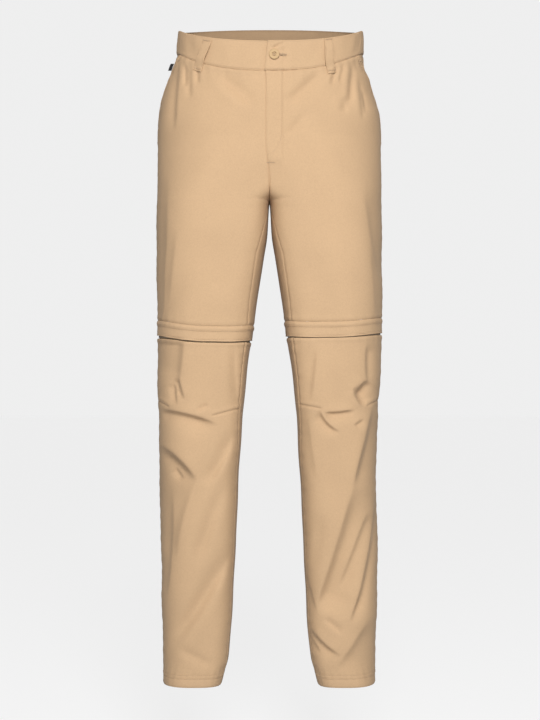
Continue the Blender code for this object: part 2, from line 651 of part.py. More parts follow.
def band_height(angle, share):
    """Height on the waistband between its top and bottom edge"""
    return band_top(angle) + (band_bottom(angle) - band_top(angle)) * share


def build_band_front(leg, material):
    """Front waistband of one side. The left one laps over the right one and carries the buttonhole"""
    rows = []
    for i in range(BAND_ROWS + 1):
        share = i / BAND_ROWS
        level = band_height(0.5 * math.pi, share)
        end_x = band_end_x(share) if leg == "left" else -(BAND_OVERLAP + band_end_x(share))
        start = angle_at_x(leg, level, end_x, "front")
        table = arc_table(leg, level, start, math.pi)
        usable = table[1][-1] - 0.5 * SEAM
        row = []
        for j in range(BAND_FRONT_COLUMNS + 1):
            angle = angle_at_length(table, usable * j / BAND_FRONT_COLUMNS)
            x = plain_point(leg, angle, level)[0]
            if leg == "left":
                offset = BAND_RAISE * (1.0 - smooth_step(x, BAND_OVERLAP - 0.004, BAND_OVERLAP + 0.012))
            else:
                edge = -band_end_x(share)
                sink = BAND_WALL - BAND_RAISE + LAP_GAP
                offset = -sink * (1.0 - smooth_step(x, edge, edge + BAND_UNDERLAP_EASE))
            row.append((angle, band_height(angle, share), offset, BAND_WALL))
        rows.append(row)
    return wall_on_cloth(f"waistband_front_{leg}", leg, rows, material)


def build_band_back(material):
    """Back waistband from side seam to side seam"""
    rows = []
    for i in range(BAND_ROWS + 1):
        share = i / BAND_ROWS
        row = []
        for j in range(BAND_BACK_COLUMNS + 1):
            half = abs(2.0 * j / BAND_BACK_COLUMNS - 1.0)
            leg = "right" if 2 * j < BAND_BACK_COLUMNS else "left"
            level = band_height(-0.5 * math.pi, share)
            table = arc_table(leg, level, -0.5 * math.pi, -math.pi)
            angle = angle_at_length(table, (table[1][-1] - 0.5 * SEAM) * half)
            row.append((leg, angle, band_height(angle, share)))
        rows.append(row)
    outer = [[place(leg, angle, height, 0.0) for leg, angle, height in row] for row in rows]
    inner = [[place(leg, angle, height, -BAND_WALL) for leg, angle, height in row] for row in rows]
    return wall("waistband_back", outer, inner, material)


def build_belt_loop(loop, material):
    """Belt loop, flat on the cloth at both ends and free between them"""
    side = 1.0 if loop.face == "front" else -1.0
    rows = []
    for share in LOOP_ROWS:
        x_middle = loop.x_top + (loop.x_bottom - loop.x_top) * share
        rise = smooth_step(share, *LOOP_RISE) * (1.0 - smooth_step(share, *LOOP_FALL))
        offset = LOOP_SEAT + LOOP_STAND_OFF * rise + LOOP_WALL
        row = []
        for part in (-0.5, 0.0, 0.5):
            angle = angle_at_x(loop.leg, BAND_BOTTOM_Z, x_middle + part * LOOP_WIDTH, loop.face)
            top = band_top(side * abs(angle)) - loop.drop_from_top
            bottom = band_bottom(side * abs(angle)) - LOOP_BELOW_BAND
            row.append((angle, top + (bottom - top) * share, offset, LOOP_WALL))
        rows.append(row)
    return wall_on_cloth(loop.name, loop.leg, rows, material)


def build_button(material):
    """Round waist button with a raised rim and a sunk middle, on the left waistband"""
    angle = angle_at_x("left", BUTTON_Z, BUTTON_X, "front")
    seat = place("left", angle, BUTTON_Z, BAND_RAISE + LOOP_SEAT)
    outwards = cloth_normal("left", angle, BUTTON_Z)
    radius, height = BUTTON_RADIUS, BUTTON_HEIGHT
    profile = (
        (0.0, 0.0), (0.80 * radius, 0.0), (0.97 * radius, 0.25 * height), (radius, 0.55 * height),
        (0.95 * radius, 0.88 * height), (0.84 * radius, height), (0.72 * radius, 0.88 * height),
        (0.62 * radius, 0.62 * height), (0.0, 0.62 * height),
    )
    builder = bmesh.new()
    rings = []
    for distance, level in profile:
        if distance == 0.0:
            rings.append([builder.verts.new((0.0, 0.0, level))])
            continue
        ring = []
        for k in range(BUTTON_SEGMENTS):
            turn = 2.0 * math.pi * k / BUTTON_SEGMENTS
            ring.append(builder.verts.new((distance * math.cos(turn), distance * math.sin(turn), level)))
        rings.append(ring)
    for low, high in zip(rings, rings[1:]):
        for k in range(BUTTON_SEGMENTS):
            after = (k + 1) % BUTTON_SEGMENTS
            below = [low[k % len(low)], low[after % len(low)]]
            above = [high[after % len(high)], high[k % len(high)]]
            builder.faces.new(list(dict.fromkeys(below + above)))
    turn_up = Vector((0.0, 0.0, 1.0)).rotation_difference(outwards).to_matrix().to_4x4()
    builder.transform(Matrix.Translation(seat) @ turn_up)
    return new_object("waist_button", builder, material, 30.0)


def build_side_tab(material):
    """Small bare folded tape in the right side seam, just below the waistband"""
    builder = bmesh.new()
    corners = []
    for height in (TAB_TOP_Z, TAB_TOP_Z - TAB_HEIGHT):
        root = place("right", math.pi, height, LOOP_SEAT)
        for reach, half in ((0.0, 0.5), (0.8 * TAB_REACH, 0.5), (TAB_REACH, 0.2)):
            for side in (1.0, -1.0):
                across = root.y + side * half * TAB_THICKNESS
                corners.append(builder.verts.new((root.x - reach, across, height)))
    top, bottom = corners[:6], corners[6:]
    outline = (0, 2, 4, 5, 3, 1)
    builder.faces.new([top[i] for i in outline])
    builder.faces.new([bottom[i] for i in reversed(outline)])
    for i, k in zip(outline, outline[1:] + outline[:1]):
        builder.faces.new((top[i], bottom[i], bottom[k], top[k]))
    return new_object("side_tab", builder, material)


clear_scene()
finishes = make_materials()
cloth = finishes["tan cloth"]

build_band_front("right", cloth)
build_band_front("left", cloth)
build_band_back(cloth)
for leg_name in ("right", "left"):
    build_upper_leg(leg_name, "front", cloth)
    build_upper_leg(leg_name, "back", cloth)
    build_pocket_facing(leg_name, cloth)
    build_flap(leg_name, cloth)
    build_zip_tape(leg_name, finishes["tan zip tape"])
    build_lower_leg(leg_name, "front", cloth)
    build_lower_leg(leg_name, "back", cloth)
for loop in map(Loop._make, LOOPS):
    build_belt_loop(loop, cloth)
build_button(finishes["tan button"])
build_side_tab(finishes["dark tape"])
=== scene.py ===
"""Outdoor trousers with zip-off lower legs: the finish of every piece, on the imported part."""

import math

import bmesh
import bpy
import numpy as np
from mathutils import Matrix, Vector


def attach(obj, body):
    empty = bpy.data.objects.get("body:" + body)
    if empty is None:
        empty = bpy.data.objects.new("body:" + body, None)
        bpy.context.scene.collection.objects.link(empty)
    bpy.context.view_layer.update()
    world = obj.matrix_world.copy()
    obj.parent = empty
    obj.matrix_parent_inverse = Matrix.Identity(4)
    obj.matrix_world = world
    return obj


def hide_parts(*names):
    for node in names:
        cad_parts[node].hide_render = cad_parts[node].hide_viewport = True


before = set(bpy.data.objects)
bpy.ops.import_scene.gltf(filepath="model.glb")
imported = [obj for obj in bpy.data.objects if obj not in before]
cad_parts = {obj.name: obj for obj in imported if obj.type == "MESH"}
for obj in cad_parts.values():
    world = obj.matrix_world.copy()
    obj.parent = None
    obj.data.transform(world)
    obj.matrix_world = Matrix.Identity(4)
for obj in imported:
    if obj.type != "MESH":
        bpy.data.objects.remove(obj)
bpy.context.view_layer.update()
bpy.ops.object.select_all(action="DESELECT")


# The legs' form. Each leg is a tube cut on the body's lines and sewn from a front and a back. A row is a
# ring, in millimetres: its height, its inner edge, its outer edge on the right and on the left leg, its front
# and its back. Then how square it is, all round and in front towards the inside, and how far forwards the
# inside seam lies, in degrees.
RINGS = np.array((
    (30, -147, 146.5, 150, -98.5, 96, 2.3, 2.3, 0.0),
    (0, -149, 148, 151.5, -100, 98.5, 2.3, 2.3, 0.0),
    (-40, -151.5, 151, 152.8, -101.8, 103, 2.3, 2.3, 0.0),
    (-60, -156.5, 158.5, 154.8, -103, 107, 2.3, 2.3, 0.0),
    (-79, -164, 165, 163, -104.2, 112, 2.32, 2.32, 0.0),
    (-100, -170, 171.8, 168.2, -106.2, 117.5, 2.35, 2.35, 0.0),
    (-120, -175, 176.5, 174.2, -108.5, 123, 2.38, 2.38, 0.0),
    (-140, -179, 178.8, 179, -110.5, 127.5, 2.4, 2.4, 0.0),
    (-175, -180, 181, 180.6, -113, 132, 2.42, 2.42, 0.0),
    (-195, -156, 181.2, 180.6, -113.8, 131.8, 2.44, 2.44, 0.0),
    (-215, -118, 181.4, 180.8, -114, 129, 2.46, 2.5, 0.0),
    (-235, -76, 181.6, 181, -114, 124, 2.46, 2.7, 0.0),
    (-250, -45, 182, 181.2, -113.8, 119, 2.44, 3.4, 0.0),
    (-265, -20, 182.4, 181.4, -113.4, 113.5, 2.42, 4.8, 0.0),
    (-275, -6, 182.6, 181.6, -113, 109.5, 2.4, 5.6, 0.0),
    (-282, 0.1, 182.8, 181.8, -112.8, 107, 2.4, 5.6, 0.0),
    (-295, 1.2, 182.9, 182, -112.4, 102.5, 2.4, 5.0, 14.4),
    (-332.5, 3.4, 182.9, 182, -111.2, 93, 2.38, 4.6, 35.5),
    (-371.5, 9.4, 182.8, 181.8, -109.8, 86.5, 2.36, 4.3, 43.5),
    (-430, 18.6, 181.5, 181.8, -107, 79, 2.34, 4.1, 42.7),
    (-488.5, 26.8, 181.2, 181.2, -103.5, 72, 2.32, 4.0, 38.7),
    (-547, 35, 180, 180, -99.5, 65.5, 2.3, 3.9, 36.0),
    (-586, 39.4, 179.8, 176, -96.8, 61.5, 2.3, 3.8, 34.3),
    (-605.5, 41.6, 179.6, 174, -95.2, 60, 2.3, 3.8, 33.0),
    (-625, 43.8, 178.6, 175.5, -93.8, 60, 2.3, 3.8, 30.6),
    (-664, 46.3, 178.2, 173.8, -90.8, 64, 2.28, 3.7, 27.8),
    (-742, 50.3, 178, 172.2, -84.8, 70.5, 2.26, 3.6, 25.1),
    (-820, 54.2, 176.6, 175.2, -78, 73.5, 2.26, 3.55, 24.9),
    (-898, 58.2, 174.8, 175.4, -70.8, 71, 2.26, 3.5, 24.7),
    (-976, 62.4, 173.2, 172.2, -63.2, 67.5, 2.26, 3.5, 24.7),
    (-1015, 66.2, 173, 172, -59.4, 66, 2.26, 3.5, 24.7),
    (-1038, 73, 172.7, 172, -57.4, 65.6, 2.26, 3.5, 24.6),
    (-1070, 81, 172.2, 172, -55, 65, 2.26, 3.5, 24.7),
))
RINGS[:, :6] *= 0.001
RING_TITLES = ("inner", "right", "left", "front", "back", "squareness", "front inner", "inseam")
CROTCH_Z = -0.2820
SEAM = 0.0003
CENTRE_LAP = 0.0003
FACE_BLEND = 0.30


def slopes_through(heights, values):
    """Slopes of a smooth curve that never swings past its values"""
    steps = np.diff(values) / np.diff(heights)
    slopes = np.concatenate((steps[:1], np.zeros(len(steps) - 1), steps[-1:]))
    same = steps[:-1] * steps[1:] > 0.0
    slopes[1:-1][same] = 2.0 * steps[:-1][same] * steps[1:][same] / (steps[:-1][same] + steps[1:][same])
    return slopes


UP_HEIGHTS = RINGS[::-1, 0]
UP_VALUES = {title: RINGS[::-1, column + 1] for column, title in enumerate(RING_TITLES)}
UP_SLOPES = {title: slopes_through(UP_HEIGHTS, values) for title, values in UP_VALUES.items()}


def ring(title, height):
    """Value of one ring column at any heights"""
    height = np.clip(height, UP_HEIGHTS[0], UP_HEIGHTS[-1])
    i = np.clip(np.searchsorted(UP_HEIGHTS, height, side="right") - 1, 0, len(UP_HEIGHTS) - 2)
    span = UP_HEIGHTS[i + 1] - UP_HEIGHTS[i]
    t = (height - UP_HEIGHTS[i]) / span
    values, slopes = UP_VALUES[title], UP_SLOPES[title]
    return (values[i] * (2 * t ** 3 - 3 * t ** 2 + 1) + slopes[i] * span * (t ** 3 - 2 * t ** 2 + t)
            + values[i + 1] * (3 * t ** 2 - 2 * t ** 3) + slopes[i + 1] * span * (t ** 3 - t ** 2))


def soft_step(value, low, high):
    """0 below low, 1 above high and a soft rise between"""
    share = np.clip((value - low) / (high - low), 0.0, 1.0)
    return share * share * (3.0 - 2.0 * share)


def signed_power(value, power):
    """Power that keeps the sign"""
    return np.sign(value) * np.abs(value) ** power


def ring_sizes(leg, height):
    """Middle and half width, and middle and half depth, of a leg's ring"""
    inner, outer = ring("inner", height), ring(leg, height)
    front, back = ring("front", height), ring("back", height)
    return (inner + outer) / 2, (outer - inner) / 2, (front + back) / 2, (back - front) / 2


def ring_squareness(height, front_inner):
    """Squareness of a ring, on the inner half of its front or elsewhere"""
    return np.where(front_inner, ring("front inner", height), ring("squareness", height))


def plain_ring(leg, angle, height):
    """Point of a leg's ring before its folds. Angles start at the inside leg and grow over the front"""
    middle_x, half_x, middle_y, half_y = ring_sizes(leg, height)
    squareness = ring_squareness(height, (np.cos(angle) > 0.0) & (np.sin(angle) > 0.0))
    x = middle_x - half_x * signed_power(np.cos(angle), 2.0 / squareness)
    y = middle_y - half_y * signed_power(np.sin(angle), 2.0 / squareness)
    return x, y


# The folds that the cloth takes in wear, drawn as troughs along bowed lines on each leg's front and back.
# Lengths are in millimetres: a line's start and end (distance from the middle, height), the trough's width on
# its right and left, its depth and the bow to the left. Last comes the height of the ridge beside it as a
# share of the depth, on the right if positive.
FOLDS = {
    ("right", "front"): (
        (78.5, -85, 24.3, -133.7, 12.1, 8, 4.2, 0, -0.3),
        (134.2, -63, 133.5, -100.7, 2.9, 3.7, 3.2, 0.6, 0.3),
        (127.2, -66.1, 126.4, -119.5, 3.3, 5.7, 2.5, 0, 0.3),
        (114.6, -67.7, 113, -97.5, 2.6, 4.6, 2.5, 0, 0.2),
        (90.3, -333, 74.6, -439.8, 17.6, 16.8, 1.6, 0, 0.2),
        (65.2, -837, 156.2, -989.3, 9.4, 14.9, 7.6, 4.7, 0.16),
        (61.2, -650.2, 99.7, -730.3, 6.3, 11.8, 5, 3.1, 0.12),
        (76.1, -735, 115.4, -855.8, 9.4, 11.8, 4, 0, 0.1),
        (56.5, -508.9, 53.4, -601.5, 4.7, 7.8, 2.6, 0, 0.15),
        (96.6, -604.7, 113.8, -614.1, 3.1, 4.7, 2, 0, 0.3),
        (146.8, -992.4, 87.1, -1023.8, 7.8, 7.8, 1.8, 0, -0.2),
    ),
    ("right", "back"): (
        (15, -262, 118, -312, 6, 12.6, 5.2, 6, 0.35),
        (30, -292, 96, -326, 4.4, 9.2, 2.8, 4, 0.3),
        (40, -335, 135, -352, 7.7, 16.1, 3.4, 4, 0.3),
        (150, -372, 75, -440, 7.7, 16.1, 3, 0, 0.3),
        (30, -110, 80, -170, 7.2, 14.9, 1.6, 0, 0.2),
        (56, -562, 160, -590, 5, 10.3, 5.8, 5, 0.45),
        (52, -622, 150, -612, 4.7, 9.8, 5.6, -4, 0.45),
        (168, -652, 86, -702, 6, 12.6, 5, 4, 0.4),
        (60, -520, 70, -585, 5, 10.3, 2.6, 0, 0.3),
        (66, -770, 150, -866, 7.7, 16.1, 4.6, 0, 0.4),
        (160, -905, 88, -968, 6, 12.6, 4.6, 4, 0.4),
        (78, -1000, 150, -1018, 4.4, 9.2, 3, 3, 0.3),
    ),
    ("left", "front"): (
        (79.3, -83.4, 27.5, -132.1, 7.7, 12.6, 4.2, 0, 0.3),
        (60.4, -143.1, 27.5, -182.3, 5.5, 9.2, 2, 0, 0.2),
        (106.8, -66.1, 97.3, -100.7, 2.9, 5.1, 3, 0, 0.3),
        (117.7, -64.6, 110.7, -97.5, 2.6, 4.6, 2.5, 0, 0.2),
        (131.9, -63, 125.6, -132.1, 3.7, 6.9, 4.2, 0, 0.35),
        (143.7, -85, 148.4, -150.9, 3.3, 5.3, 3, 0, 0.3),
        (121.7, -116.4, 116.2, -144.6, 5.5, 5.7, 2.5, 0, 0.2),
        (82.4, -785.2, 68.3, -871.6, 9.4, 9.4, 2, 0, 0.2),
        (88.7, -945.3, 115.4, -968.9, 3.9, 6.3, 2.4, 0, 0.2),
    ),
    ("left", "back"): (
        (20, -268, 124, -306, 6, 12.6, 4.8, 7, 0.35),
        (28, -300, 90, -330, 4.4, 9.2, 2.8, 4, 0.3),
        (34, -345, 120, -372, 7.7, 16.1, 3.6, 4, 0.3),
        (156, -390, 92, -446, 7.7, 16.1, 3, 0, 0.3),
        (28, -116, 74, -180, 7.2, 14.9, 1.6, 0, 0.2),
        (50, -570, 152, -600, 5, 10.3, 6, 5, 0.45),
        (56, -634, 158, -628, 4.7, 9.8, 5.4, -4, 0.45),
        (164, -668, 90, -722, 6, 12.6, 4.8, 4, 0.4),
        (150, -515, 140, -570, 5, 10.3, 2.6, 0, 0.3),
        (70, -790, 146, -880, 7.7, 16.1, 4.4, 0, 0.4),
        (158, -918, 92, -976, 6, 12.6, 4.6, 4, 0.4),
        (80, -1008, 148, -1022, 4.4, 9.2, 3, 3, 0.3),
    ),
}
# Folds in front with a sharp edge, beyond which the cloth falls away. Lengths in millimetres: start and end
# of the edge, width of the fall (minus on its left), depth and bow. Then the height of the rise before the
# edge and how much of the fall stays, as shares of the depth.
CRESTS = {
    "right": (
        (129.5, -458.6, 142.1, -574.8, -11, 9, 0, 0.16, 1.0),
        (143.7, -560.7, 133.5, -596.8, -5, 5.4, 0, 0.2, 0.0),
        (148.4, -570.1, 145.2, -604.7, -4.7, 4.2, 0, 0.2, 0.0),
        (171.9, -611.7, 82.4, -633.7, -8, 7, 3.5, 0.32, 0.0),
        (178.2, -665.9, 113, -724.8, -10.2, 12.5, 5.5, 0.22, 0.4),
        (146.8, -703.6, 133.5, -722.4, -3.9, 3, 0, 0.2, 0.0),
        (112.3, -719.3, 146.8, -852.7, -14.1, 9, -7.8, 0.1, 1.0),
        (153.9, -738.1, 163.3, -917.1, -6.3, 6.5, 3.8, 0.15, 0.8),
        (160.9, -243.6, 171.9, -486.9, -7.8, 8, 2.4, 0.12, 1.0),
        (145.2, -326.8, 160.1, -446.1, -8.6, 4, 0, 0.1, 0.6),
        (143, -63, 149.9, -169.8, -5.5, 4.4, 0.9, 0.2, 0.0),
    ),
    "left": (
        (76.9, -508.9, 65.9, -603.1, 7.1, 3.8, 0, 0.15, 0.5),
        (152.3, -510.5, 153.9, -574.8, -5, 5, 2.2, 0.15, 0.0),
        (153.1, -563.8, 131.9, -592.1, -6.9, 6.5, 1.6, 0.25, 0.0),
        (130.3, -579.5, 147.6, -610.1, -6.3, 6, 1.9, 0.25, 0.0),
        (85.6, -615.6, 135.8, -610.9, 5, 4.4, 1.3, 0.45, 0.0),
        (79.3, -611.7, 112.3, -647, 5, 4.8, 5.3, 0.3, 0.0),
        (132.7, -636.1, 148.4, -625.8, 3.5, 2.6, 0, 0.3, 0.0),
        (166.4, -599.9, 132.4, -731.8, -6.8, 10.5, 0, 0.28, 0.8),
        (138.2, -716.1, 73, -928.1, -15.7, 12, -1.6, 0.12, 0.2),
        (154.6, -778.9, 107.5, -898.2, -7.8, 4.5, 0, 0.15, 0.0),
        (168, -753.8, 128, -948.5, -6, 7, -7.8, 0.2, 0.0),
        (164.1, -942.2, 106, -1025.4, -12.6, 8, 0, 0.12, 1.0),
        (66.7, -961, 115.4, -1005, 6, 5, 3.9, 0.3, 0.0),
        (54.2, -841.7, 76.9, -937.5, 4.1, 3.6, 1.6, 0.2, 0.3),
        (65.2, -973.6, 84, -1001.9, 4.4, 2.8, 0, 0.2, 0.0),
        (60.4, -614.1, 76.9, -724, 7.8, 2.6, 2.4, 0.12, 0.6),
        (148.4, -260.8, 174.3, -414.7, -8.6, 8, 2.4, 0.12, 1.0),
        (157.8, -345.6, 170.3, -493.2, -8.6, 6.5, 0, 0.1, 1.0),
        (145.2, -103.8, 150.7, -144.6, -3.9, 3.2, 0, 0.25, 0.0),
    ),
}
# Folds that start below this height belong to the lower leg and end at its zip
LOWER_FOLDS_Z = -0.450
# Slow unevenness of hanging cloth: length across, length down, height and start of each wave
WAVES = ((0.083, 0.190, 0.00040, 0.4), (0.057, 0.131, 0.00030, 2.1), (0.149, 0.087, 0.00030, 4.0))


def line_place(x, height, x0, z0, x1, z1, bow):
    """How far along a bowed line a place lies, and how far to its right"""
    run_x, run_z = x1 - x0, z1 - z0
    length = math.hypot(run_x, run_z)
    along = ((x - x0) * run_x + (height - z0) * run_z) / length ** 2
    across = ((x - x0) * run_z - (height - z0) * run_x) / length
    return along, across - 4.0 * bow * np.clip(along, 0.0, 1.0) * np.clip(1.0 - along, 0.0, 1.0)


def fold_lift(leg, front_share, x, height):
    """How far the folds move the cloth backwards, which is inwards in front and outwards behind"""
    total = np.zeros_like(x)
    for *lengths, ridge, stay in CRESTS[leg]:
        x0, z0, x1, z1, width, depth, bow = (0.001 * length for length in lengths)
        along, across = line_place(x, height, x0, z0, x1, z1, bow)
        length = math.hypot(x1 - x0, z1 - z0)
        starts, stops = (0.36 if stay > 0.1 else min(0.25, 0.014 / length)), min(0.36, 0.030 / length)
        ends = soft_step(along, -0.05, starts) * (1.0 - soft_step(along, 1.0 - stops, 1.05))
        if z0 < LOWER_FOLDS_Z:
            ends = ends * (1.0 - soft_step(height, -0.5120, -0.4970))
        fall = across / width
        sunk = 0.5 * (fall + np.sqrt(fall ** 2 + 0.02))
        rise = ridge * np.exp(-(fall / np.where(fall > 0.0, 0.5, 2.0)) ** 2)
        back_again = sunk * np.exp(1.0 - sunk)
        kept = stay * (back_again - 1.0 + np.exp(-1.7 * sunk))
        total -= depth * ends * front_share * (rise - back_again + kept)
    for face, share in (("front", -front_share), ("back", 1.0 - front_share)):
        for *lengths, ridge in FOLDS[leg, face]:
            x0, z0, x1, z1, right_width, left_width, depth, bow = (0.001 * length for length in lengths)
            along, across = line_place(x, height, x0, z0, x1, z1, bow)
            ends = soft_step(along, -0.10, 0.30) * (1.0 - soft_step(along, 0.72, 1.10))
            trough = np.exp(-(across / np.where(across > 0.0, right_width, left_width)) ** 2)
            beside = right_width if ridge > 0.0 else left_width
            side = math.copysign(2.1 * beside, ridge)
            shoulder = abs(ridge) * np.exp(-((across - side) / (1.3 * beside + 0.0015)) ** 2)
            total += depth * ends * share * (shoulder - trough)
    return total


def wave_lift(leg, x, height):
    """How far the slow unevenness moves the cloth outwards"""
    total = np.zeros_like(x)
    for across, down, lift, start in WAVES:
        phase = start + (1.3 if leg == "left" else 0.0)
        total += lift * np.sin(2 * math.pi * (x / across + height / down) + phase)
    return total * soft_step(x, 0.004, 0.030)


# The fly: the layers below it lift the left front a little, down to a tack at its bottom
FLY_EDGE_X = -0.0050
FLY_WIDTH = 0.0250
FLY_RAISE = 0.0016
FLY_BOTTOM_Z = -0.2250
FLY_STRAIGHT_Z = -0.1950
FLY_BLEND_Z = -0.2550


def cloth_surface(leg, angle, height):
    """Points of the cloth's outer face with its folds, and the leg towards +X"""
    middle_x, half_x, middle_y, half_y = ring_sizes(leg, height)
    x, y = plain_ring(leg, angle, height)
    front_share = soft_step((middle_y - y) / half_y, -FACE_BLEND, FACE_BLEND)
    below_band = soft_step(band_bottom(angle) - height, 0.0010, 0.0090)
    fold = fold_lift(leg, front_share, x, height) * below_band
    wave = wave_lift(leg, x, height) * below_band
    forwards = 0.0
    if leg == "left":
        edge_x = FLY_EDGE_X + FLY_WIDTH
        forwards = FLY_RAISE * (1.0 - soft_step(x, edge_x - 0.0008, edge_x + 0.0018)) * (front_share > 0.5)
        forwards = forwards * soft_step(height, FLY_BOTTOM_Z - 0.006, FLY_BOTTOM_Z + 0.008)
    out_x, out_y = (x - middle_x) / half_x ** 2, (y - middle_y) / half_y ** 2
    size = np.hypot(out_x, out_y)
    moved_x, moved_y = x + wave * out_x / size, y + fold + wave * out_y / size - forwards
    return np.stack((moved_x, moved_y, height + 0.0 * x), axis=-1)


def cloth(leg, angle, height, out=0.0):
    """World points on the cloth, moved out from it"""
    angle, height = np.broadcast_arrays(np.asarray(angle, float), np.asarray(height, float))
    turn, drop = 0.006, 0.0006
    around = cloth_surface(leg, angle + turn, height) - cloth_surface(leg, angle - turn, height)
    upwards = cloth_surface(leg, angle, height + drop) - cloth_surface(leg, angle, height - drop)
    normal = np.cross(around, upwards)
    normal /= np.linalg.norm(normal, axis=-1, keepdims=True)
    points = cloth_surface(leg, angle, height) + normal * np.asarray(out)[..., None]
    if leg == "right":
        points = points * (-1.0, 1.0, 1.0)
    return points


def angle_at_x(leg, height, x, face="front"):
    """Angle at which a ring passes a distance from the middle"""
    middle_x, half_x, _, _ = ring_sizes(leg, height)
    share = np.clip((middle_x - x) / half_x, -1.0, 1.0)
    squareness = ring_squareness(height, (share > 0.0) & (face == "front"))
    angle = np.arccos(signed_power(share, squareness / 2.0))
    return angle if face == "front" else -angle


def start_angle(leg, height, face):
    """Angle of the centre seam, or below the crotch of the inside leg seam"""
    edge = FLY_EDGE_X * soft_step(height, FLY_BLEND_Z, FLY_STRAIGHT_Z) if face == "front" else 0.0
    cut = (edge if leg == "left" else -edge) - CENTRE_LAP
    inside = np.radians(ring("inseam", height))
    return np.where(height <= CROTCH_Z, inside, angle_at_x(leg, height, cut, face))


def arc(leg, height, start, end, steps=240):
    """Angles and lengths along a ring between two angles"""
    angles = np.linspace(start, end, steps)
    x, y = plain_ring(leg, angles, height)
    lengths = np.concatenate(([0.0], np.cumsum(np.hypot(np.diff(x), np.diff(y)))))
    return angles, lengths


def spread(leg, height, start, end, columns, held=None, edge_steps=(0.0, 0.0007, 0.0016, 0.0030, 0.0050)):
    """Angles across a panel, close together at both edges, and how far along it each lies. Held is an angle
    and a weight with which the columns are drawn towards it"""
    angles, lengths = arc(leg, height, start, end)
    total = lengths[-1]
    edge = np.array(edge_steps) * min(1.0, total / 0.03)
    middle = np.linspace(edge[-1], total - edge[-1], columns - 2 * len(edge) + 2)[1:-1]
    places = np.concatenate((edge, middle, total - edge[::-1]))
    if held is not None:
        even = 0.36 * total
        line = even + (float(np.interp(held[0], angles, lengths)) - even) * held[1]
        inner, outer = places * line / even, line + (places - even) * (total - line) / (total - even)
        places = np.where(places < even, inner, outer)
    return np.interp(places, lengths, angles), places


def from_side_seam(leg, level, distance):
    """Angle on the front at a distance from the side seam"""
    angles, lengths = arc(leg, level, 0.5 * math.pi, math.pi)
    return np.interp(lengths[-1] - distance, lengths, angles)


# Seam edges roll in a little, and the layers sewn below them stand up beside the seam
def dip(distance, width):
    """1 at a line and falling away softly on both sides of it"""
    return np.exp(-(distance / width) ** 2)


def seam_roll(distance, depth=0.0008):
    """Lift of a panel at a distance from a sewn edge"""
    return 0.35 * depth * dip(distance - 0.0055, 0.0032) - depth * dip(distance, 0.0016)


def pucker(place, distance, pitch=0.013, height=0.00035, reach=0.012):
    """Small waves that the sewing draws into the cloth beside a seam"""
    wave = np.sin(2 * math.pi * place / pitch) + 0.6 * np.sin(2 * math.pi * place / (1.7 * pitch) + 1.0)
    return height * wave * dip(distance, reach)


def add_piece(name, mesh, material):
    """Object of a closed mesh with its faces turned outwards"""
    made = bpy.data.objects.new(name, mesh)
    bpy.context.collection.objects.link(made)
    builder = bmesh.new()
    builder.from_mesh(mesh)
    if builder.calc_volume(signed=True) < 0.0:
        bmesh.ops.reverse_faces(builder, faces=builder.faces)
        builder.to_mesh(mesh)
    builder.free()
    mesh.shade_smooth()
    mesh.materials.append(material)
    return made


def make_shell(name, outer, inner, cut, material, closed=False):
    """Thin closed shell from two grids of points, rows from top to bottom, with a flat cut as its map"""
    rows, columns = outer.shape[:2]
    points = np.concatenate((outer.reshape(-1, 3), inner.reshape(-1, 3)))
    top = np.arange(columns if closed else columns - 1)
    i, j = np.meshgrid(np.arange(rows - 1), top, indexing="ij")
    a, b = i * columns + j, i * columns + (j + 1) % columns
    c, d = b + columns, a + columns
    base = rows * columns
    faces = [np.stack((a, b, c, d), -1).reshape(-1, 4), np.stack((a, d, c, b), -1).reshape(-1, 4) + base]
    top_next = (top + 1) % columns
    low, low_next = top + (rows - 1) * columns, top_next + (rows - 1) * columns
    faces.append(np.stack((top, top + base, top_next + base, top_next), -1))
    faces.append(np.stack((low, low_next, low_next + base, low + base), -1))
    if not closed:
        side = np.arange(rows - 1) * columns
        faces.append(np.stack((side, side + columns, side + columns + base, side + base), -1))
        side = side + columns - 1
        faces.append(np.stack((side, side + base, side + columns + base, side + columns), -1))
    faces = np.concatenate(faces)
    mesh = bpy.data.meshes.new(name)
    mesh.from_pydata(points.tolist(), [], faces.tolist())
    flat = np.concatenate((cut.reshape(-1, 2), cut.reshape(-1, 2)))
    uv = mesh.uv_layers.new(name="cut")
    uv.data.foreach_set("uv", flat[faces.reshape(-1)].reshape(-1))
    made = add_piece(name, mesh, material)
    mesh.set_sharp_from_angle(angle=math.radians(50))
    return made


def lengths_across(grid):
    """Length along each row of a grid of points"""
    steps = np.linalg.norm(np.diff(grid, axis=1), axis=-1)
    return np.concatenate((np.zeros((grid.shape[0], 1)), np.cumsum(steps, axis=1)), axis=1)


def shell_on(name, leg, angle, height, out, thick, material, closed=False):
    """Shell on one leg's cloth, from grids of angles, heights and offsets"""
    outer = cloth(leg, angle, height, out)
    inner = cloth(leg, angle, height, np.asarray(out) - thick)
    across = lengths_across(outer)
    cut = np.stack((across - across[:, -1:] / 2, outer[..., 2]), axis=-1)
    return make_shell(name, outer, inner, cut, material, closed)


def finish_sheet(piece, nodes):
    """Fix a cloth piece to the part and hide the parts it stands for"""
    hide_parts(*nodes)
    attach(piece, "root")


# Trouser cloth: a light, tightly woven polyamide with a trace of stretch, piece-dyed tan. The yarns run with
# the cut, so the weave follows each panel's own map. It is matt, with a faint bloom and slightly uneven dye.
def new_material(name, values):
    """Material with its node tree and its shader, whose inputs get fixed values"""
    material = bpy.data.materials.new(name)
    material.use_nodes = True
    shader = material.node_tree.nodes["Principled BSDF"]
    for title, value in values.items():
        shader.inputs[title].default_value = value
    return material, material.node_tree, shader


